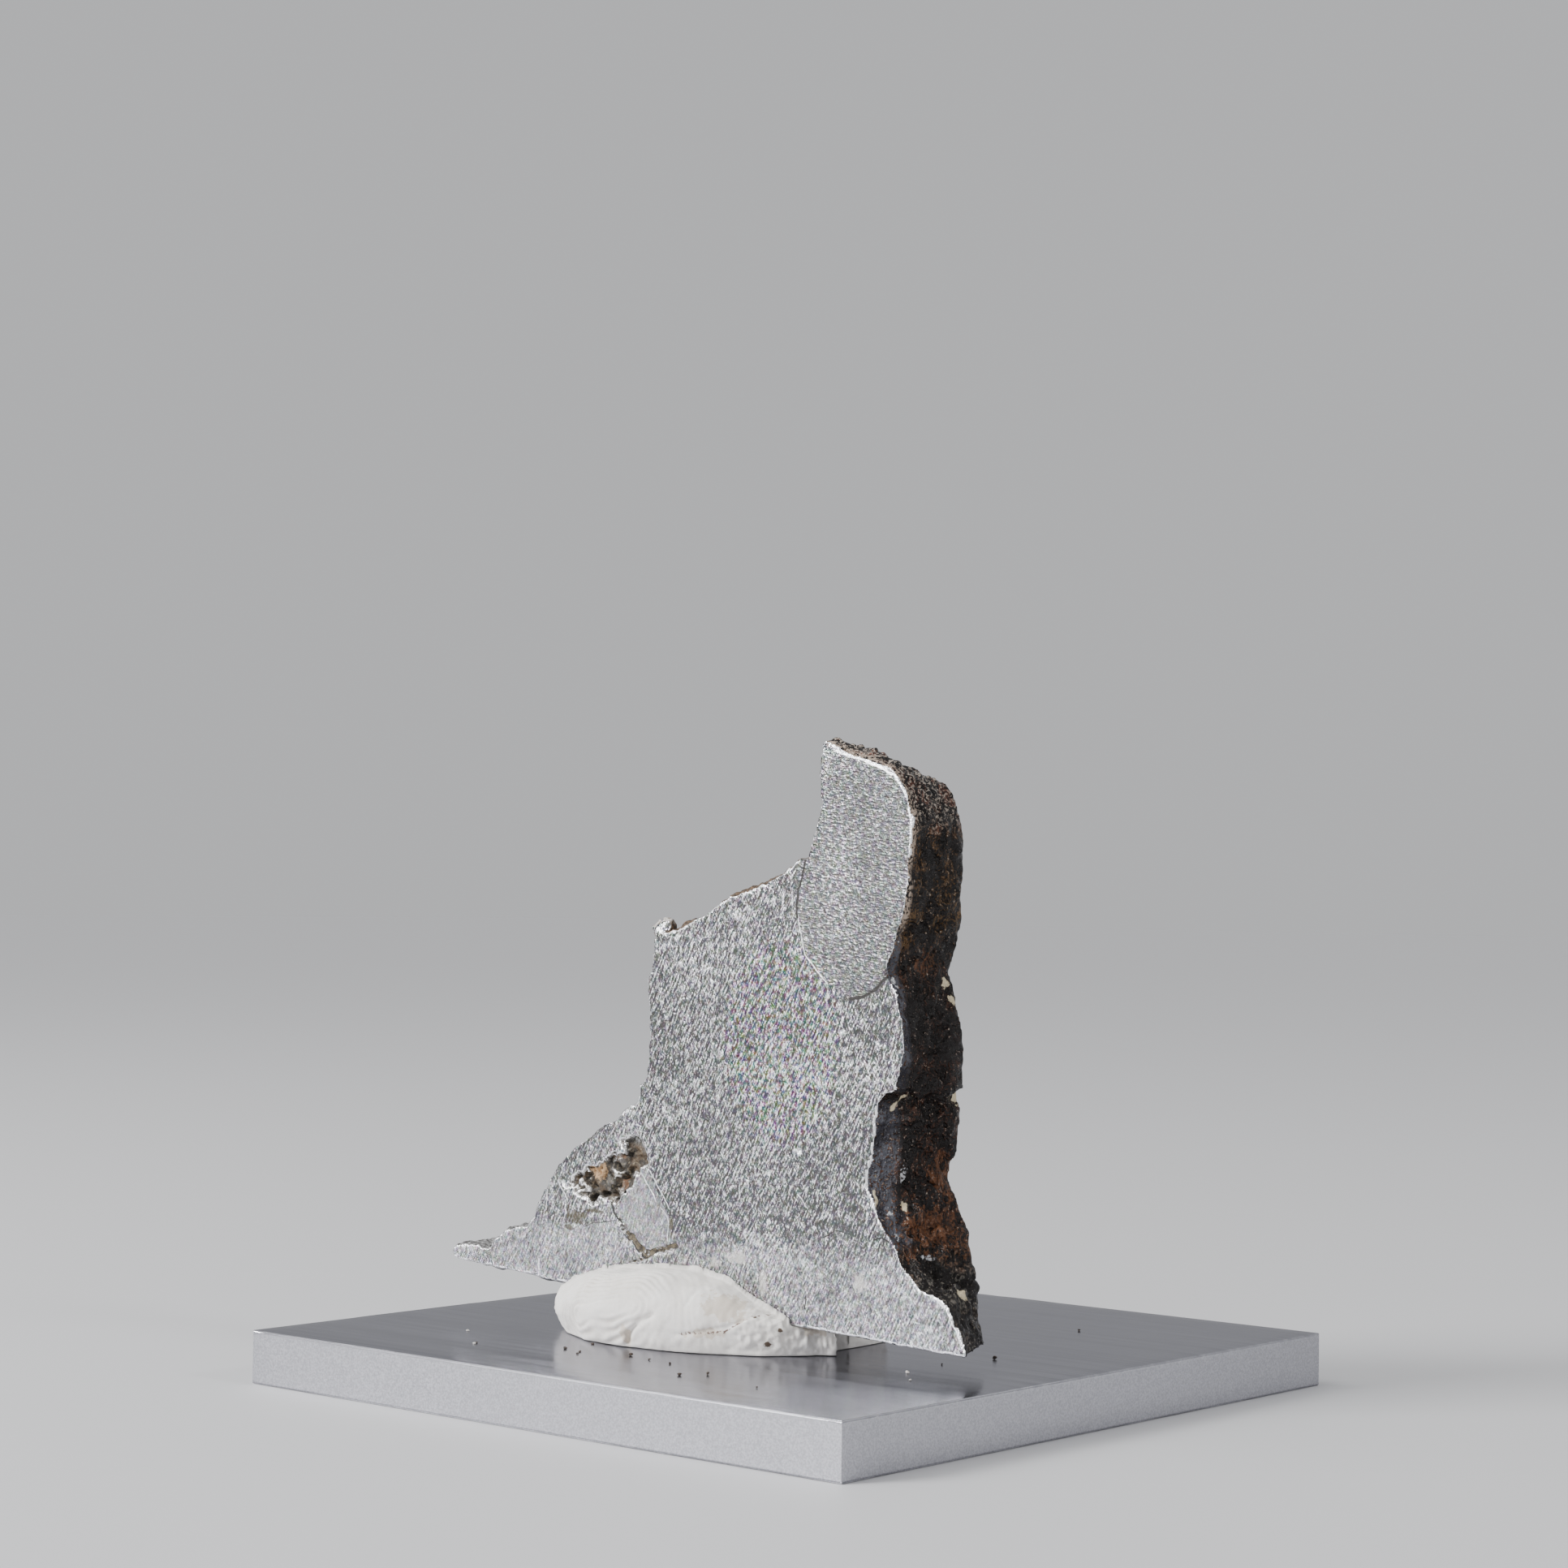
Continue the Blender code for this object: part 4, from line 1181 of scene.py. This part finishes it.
def press_putty(mesh, settings):
    """Finger ridges, the fold, the cracked line and the torn right end, pressed into the surface."""
    places = vertex_data(mesh, "co") / MM
    normals = vertex_data(mesh, "normal")
    x, y, z = places.T
    in_slot = beside_slice(to_slice(places * MM), 0.12, 0.2)
    free = np.where(in_slot, 0.0, smooth_step(z, PLATE_TOP + 0.05, PLATE_TOP + 0.4))
    # Way over the lump, up its front and then back over its top
    over = z + 0.75 * (y + 13.5)
    warp = relief(np.column_stack((x, over, np.zeros(len(x)))), ((3.0, 0.6), (1.1, 0.15)))
    out = distance_to_route(np.column_stack((x, over)), WHORL)
    turns = (out + warp) * MM / settings.ridge_spacing
    worn = np.clip(0.80 + relief(places + 31.0, ((1.6, 1.2),)), 0.2, 1.0)
    worn *= (1.0 - 0.85 * smooth_step(x, -3.5, 1.0)) * smooth_step(out, 0.2, 0.8)
    torn = smooth_step(x + relief(places, ((1.5, 1.5),)), *TORN_RANGE)
    ridges = np.cos(2.0 * math.pi * turns) * worn * (1.0 - torn)
    push = settings.ridge_height / MM * ridges + torn * relief(places, TORN_LUMPS)
    push += relief(places, PUTTY_LUMPS)
    front = np.column_stack((x, z))
    for depth, half, route in PUTTY_FOLDS:
        away = distance_to_route(front, route) / half
        push -= np.where(y < -5.0, depth * np.exp(-away * away), 0.0)
    places += normals * (push * free)[:, None]
    move_vertices(mesh, places * MM)
    # The ridges are kept for the painted shade between them
    marks = mesh.attributes.new("finger marks", "FLOAT", "POINT")
    marks.data.foreach_set("value", (0.5 + 0.5 * ridges * free).astype(np.float32))


def build_putty_material(settings):
    """Matt cream putty, with a little painted shade between the ridges, brownish patches and specks."""
    material, shade, shader = new_material("white putty")
    place = object_place(shade)
    marks = shade.node("ShaderNodeAttribute", attribute_name="finger marks").outputs["Fac"]
    cloud = shade.noise(place, 2.2, 4.0, 0.6)
    fine = shade.noise(place, 0.2, 3.0, 0.6)
    ragged = shade.ragged(place, 0.5, 2.4)
    white = shade.colour(shade.rise(cloud, 0.35, 0.68), settings.colour, settings.shade)
    # Painted shade between the finger ridges
    white = shade.colour(shade.rise(marks, 0.0, 0.5, 0.34, 0.0), white, settings.valley)
    white = shade.colour(shade.rise(fine, 0.3, 0.7, 0.0, 0.12), white, settings.valley)
    # Brownish patches, some at the fold and under the slice's foot
    stains = shade.times(spots_mask(shade, place, ragged, PUTTY_BROWN_PATCHES), 0.45)
    white = shade.colour(stains, white, (0.50, 0.38, 0.24))
    flat = shade.vector("MULTIPLY", place, (1.0, 0.0, 1.0))
    cracks = shade.times(routes_mask(shade, flat, PUTTY_CRACKS), shade.rise(fine, 0.50, 0.58))
    white = shade.colour(cracks, white, (0.16, 0.10, 0.08))
    white = shade.colour(spots_mask(shade, place, ragged, PUTTY_SPECKS), white, (0.10, 0.07, 0.05))
    height = shade.total((fine, 0.7), start=shade.noise(place, 0.07, 2.0))
    finish_surface(shade, shader, white, 0.0, shade.mix(fine, 0.62, 0.85), height, 0.03, 0.35)
    return material


class METEORITE_OT_putty(bpy.types.Operator):
    """Build the lump of putty over its CAD solid"""

    bl_idname = "meteorite.putty"
    bl_label = "Putty"

    def execute(self, context):
        settings = context.scene.meteorite_putty
        piece = copy_of_node("putty", "putty_lump")
        remesh(piece, settings.voxel)
        soften_putty(piece)
        lean_putty(piece)
        fit_putty(piece.data)
        press_putty(piece.data, settings)
        finish_piece(piece, "putty", "putty", build_putty_material(settings))
        return {"FINISHED"}


def build_plate_material(settings):
    """Aluminium: the top brushed along X and nearly a mirror, the filed edges duller."""
    material, shade, shader = new_material("brushed aluminium")
    place = object_place(shade)
    up = shade.node("ShaderNodeSeparateXYZ", {"Vector": place}).outputs["Z"]
    top = shade.rise(up, PLATE_TOP - 0.35, PLATE_TOP - 0.05)
    long = strokes(shade, place, 0.0, 0.09, 14.0)
    broad = strokes(shade, place, 0.0, 0.8, 30.0)
    grain = shade.noise(place, 0.12, 3.0, 0.6)
    cloud = shade.noise(place, 6.0, 3.0)
    tone = shade.mix(top, grain, shade.total((broad, 0.5), (long, 0.5)))
    colour = shade.colour(shade.rise(tone, 0.3, 0.7), settings.dark, settings.colour)
    rough = shade.rise(shade.total((cloud, 0.4), (broad, 0.6)), 0.3, 0.7, 0.13, 0.26)
    rough = shade.mix(top, shade.mix(grain, 0.30, 0.55), rough)
    height = shade.mix(top, grain, long)
    finish_surface(shade, shader, colour, 1.0, rough, height, 0.01, shade.mix(top, 0.35, 0.30))
    shader.inputs["Specular Tint"].default_value = (0.55, 0.55, 0.57, 1.0)
    return material


def file_edges(mesh):
    """Make the plate's rounded edges a little uneven, as filed by hand."""
    places = vertex_data(mesh, "co") / MM
    normals = vertex_data(mesh, "normal")
    lean = 1.0 - np.abs(normals).max(axis=1)
    push = relief(places, ((7.0, 0.12), (1.8, 0.05))) * smooth_step(lean, 0.02, 0.25)
    places -= normals * np.maximum(push + 0.02, 0.0)[:, None] * (lean > 0.001)[:, None]
    move_vertices(mesh, places * MM)


class METEORITE_OT_plate(bpy.types.Operator):
    """Build the aluminium plate over its CAD solid"""

    bl_idname = "meteorite.plate"
    bl_label = "Aluminium plate"

    def execute(self, context):
        settings = context.scene.meteorite_plate
        low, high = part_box("display_plate")
        bpy.ops.object.select_all(action="DESELECT")
        bpy.ops.mesh.primitive_cube_add(size=1.0, location=(low + high) / 2, scale=high - low)
        piece = context.object
        piece.name = "aluminium_plate"
        bpy.ops.object.transform_apply(location=True, rotation=True, scale=True)
        bpy.ops.object.mode_set(mode="EDIT")
        bpy.ops.mesh.select_all(action="SELECT")
        bpy.ops.mesh.subdivide(number_cuts=40)
        bpy.ops.object.mode_set(mode="OBJECT")
        apply_modifier(piece, "BEVEL", width=settings.rounding, segments=8, limit_method="ANGLE")
        file_edges(piece.data)
        finish_piece(piece, "display_plate", "plate_aluminium", build_plate_material(settings))
        return {"FINISHED"}


def grain_of_grit(x, y, size, seed):
    """One crumb lying on the plate."""
    bpy.ops.object.select_all(action="DESELECT")
    bpy.ops.mesh.primitive_ico_sphere_add(subdivisions=2, radius=1.0, location=(0.0, 0.0, 0.0))
    grain = bpy.context.object
    places = vertex_data(grain.data, "co")
    places *= 1.0 + 0.9 * relief(places + seed * 5.0, ((1.2, 1.0),))[:, None]
    places *= (size, size * 0.75, size * 0.6)
    places = places @ np.array(Matrix.Rotation(seed * 1.3, 3, "Z"))
    places += (x, y, PLATE_TOP - places[:, 2].min())
    move_vertices(grain.data, places * MM)
    return grain


def scatter_grit(name, spots, material):
    """Crumbs lying on the plate, joined to one piece."""
    grains = [grain_of_grit(*spot, seed) for seed, spot in enumerate(spots)]
    bpy.ops.object.select_all(action="DESELECT")
    for grain in grains:
        grain.select_set(True)
    bpy.context.view_layer.objects.active = grains[0]
    bpy.ops.object.join()
    piece = grains[0]
    piece.name = name
    bpy.ops.object.shade_smooth()
    piece.data.materials.append(material)
    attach(piece, "root")


def build_grit_material(name, dark, light):
    """Speckled crumbs between two colours."""
    material, shade, shader = new_material(name)
    place = object_place(shade)
    speck = shade.noise(place, 0.1, 2.0)
    shade.feed(shader.inputs["Base Color"], shade.colour(shade.rise(speck, 0.4, 0.6), dark, light))
    shader.inputs["Roughness"].default_value = 0.6
    return material


class METEORITE_OT_grit(bpy.types.Operator):
    """Scatter the crumbs of crust and dust that lie on the plate"""

    bl_idname = "meteorite.grit"
    bl_label = "Grit on the plate"

    def execute(self, context):
        dark = build_grit_material("dark grit", (0.02, 0.014, 0.010), (0.09, 0.06, 0.04))
        pale = build_grit_material("pale grit", (0.35, 0.33, 0.30), (0.65, 0.63, 0.60))
        scatter_grit("crust_grit", GRIT, dark)
        scatter_grit("pale_grit", PALE_GRIT, pale)
        return {"FINISHED"}


# Camera at the photograph's place: bearing from -Y towards +X, height above level, roll
CAMERA_PLACE = (135.35 * MM, -158.39 * MM, 32.09 * MM)
CAMERA_BEARING = 0.7122
CAMERA_RISE = -0.03631
CAMERA_ROLL = 0.01301
CAMERA_LENS = 72.0
CAMERA_SENSOR = 36.0
# Lights: their place, and for the square ones the point they aim at and their side, in metres
KEY_LIGHT = ((-0.24, -0.48, 0.28), (0.0, 0.0, 0.02), 0.20)
SIDE_LIGHT = ((0.42, 0.02, 0.26), (0.01, 0.0, 0.02), 0.05)
SUN_PLACE = (-0.5, -0.6, 1.0)
SUN_SPREAD = math.radians(50.0)
FLOOR_SIDE = 6.0


def add_camera():
    """A camera that sees what the photograph shows."""
    data = bpy.data.cameras.new("camera")
    data.lens = CAMERA_LENS
    data.sensor_width = data.sensor_height = CAMERA_SENSOR
    data.clip_start = 1.0 * MM
    camera = bpy.data.objects.new("camera", data)
    bpy.context.scene.collection.objects.link(camera)
    back = Vector((math.sin(CAMERA_BEARING), -math.cos(CAMERA_BEARING), 0.0)) * math.cos(CAMERA_RISE)
    back.z = math.sin(CAMERA_RISE)
    right = (-back).cross(Vector((0.0, 0.0, 1.0))).normalized()
    turn = Matrix((right, back.cross(right), back)).transposed() @ Matrix.Rotation(CAMERA_ROLL, 3, "Z")
    camera.matrix_world = Matrix.Translation(CAMERA_PLACE) @ turn.to_4x4()
    bpy.context.scene.camera = camera


def add_light(name, kind, place, target, **settings):
    """A light at a place, aimed at a point."""
    data = bpy.data.lights.new(name, kind)
    for key, value in settings.items():
        setattr(data, key, value)
    light = bpy.data.objects.new(name, data)
    bpy.context.scene.collection.objects.link(light)
    light.location = place
    light.rotation_euler = (Vector(target) - Vector(place)).to_track_quat("-Z", "Y").to_euler()


class METEORITE_OT_stage(bpy.types.Operator):
    """Add the floor, the soft lights and the camera"""

    bl_idname = "meteorite.stage"
    bl_label = "Stage"

    def execute(self, context):
        settings = context.scene.meteorite_stage
        bpy.ops.object.select_all(action="DESELECT")
        bpy.ops.mesh.primitive_plane_add(size=FLOOR_SIDE, location=(0.0, 0.0, 0.0))
        floor = context.object
        floor.name = "floor"
        material, shade, shader = new_material("pale floor")
        shade.feed(shader.inputs["Base Color"], settings.floor)
        shader.inputs["Roughness"].default_value = 0.6
        floor.data.materials.append(material)
        for name, light, power in (
            ("key", KEY_LIGHT, settings.key_power), ("side", SIDE_LIGHT, settings.side_power),
        ):
            place, target, side = light
            add_light(name, "AREA", place, target, size=side, energy=power)
        sun = {"energy": settings.sun_strength, "angle": SUN_SPREAD}
        add_light("soft sun", "SUN", SUN_PLACE, (0.0, 0.0, 0.0), **sun)
        world = bpy.data.worlds.new("studio")
        world.use_nodes = True
        world.node_tree.nodes["Background"].inputs["Color"].default_value = (*settings.backdrop, 1.0)
        context.scene.world = world
        add_camera()
        return {"FINISHED"}


class METEORITE_PT_panel(bpy.types.Panel):
    """Sidebar panel with the pieces and their settings"""

    bl_idname = "METEORITE_PT_panel"
    bl_label = "Iron meteorite slice"
    bl_space_type = "VIEW_3D"
    bl_region_type = "UI"
    bl_category = "Meteorite"

    def draw(self, context):
        for operator in OPERATORS:
            self.layout.operator(operator.bl_idname)
        for name in SETTINGS:
            box = self.layout.box()
            group = getattr(context.scene, name)
            for field in group.bl_rna.properties.keys():
                if field not in ("rna_type", "name"):
                    box.prop(group, field)


OPERATORS = (
    METEORITE_OT_effects,
    METEORITE_OT_slice,
    METEORITE_OT_putty,
    METEORITE_OT_plate,
    METEORITE_OT_grit,
    METEORITE_OT_stage,
)
SETTINGS = {
    "meteorite_slice": SliceSettings,
    "meteorite_putty": PuttySettings,
    "meteorite_plate": PlateSettings,
    "meteorite_stage": StageSettings,
}


def register():
    for kind in (*SETTINGS.values(), *OPERATORS, METEORITE_PT_panel):
        bpy.utils.register_class(kind)
    for name, kind in SETTINGS.items():
        setattr(bpy.types.Scene, name, bpy.props.PointerProperty(type=kind))


def unregister():
    for name in SETTINGS:
        delattr(bpy.types.Scene, name)
    for kind in (METEORITE_PT_panel, *OPERATORS[::-1], *SETTINGS.values()):
        bpy.utils.unregister_class(kind)


def main():
    register()
    bpy.ops.meteorite.effects()
    bpy.ops.meteorite.slice()
    bpy.ops.meteorite.putty()
    bpy.ops.meteorite.plate()
    bpy.ops.meteorite.grit()
    bpy.ops.meteorite.stage()


if __name__ == "__main__":
    main()
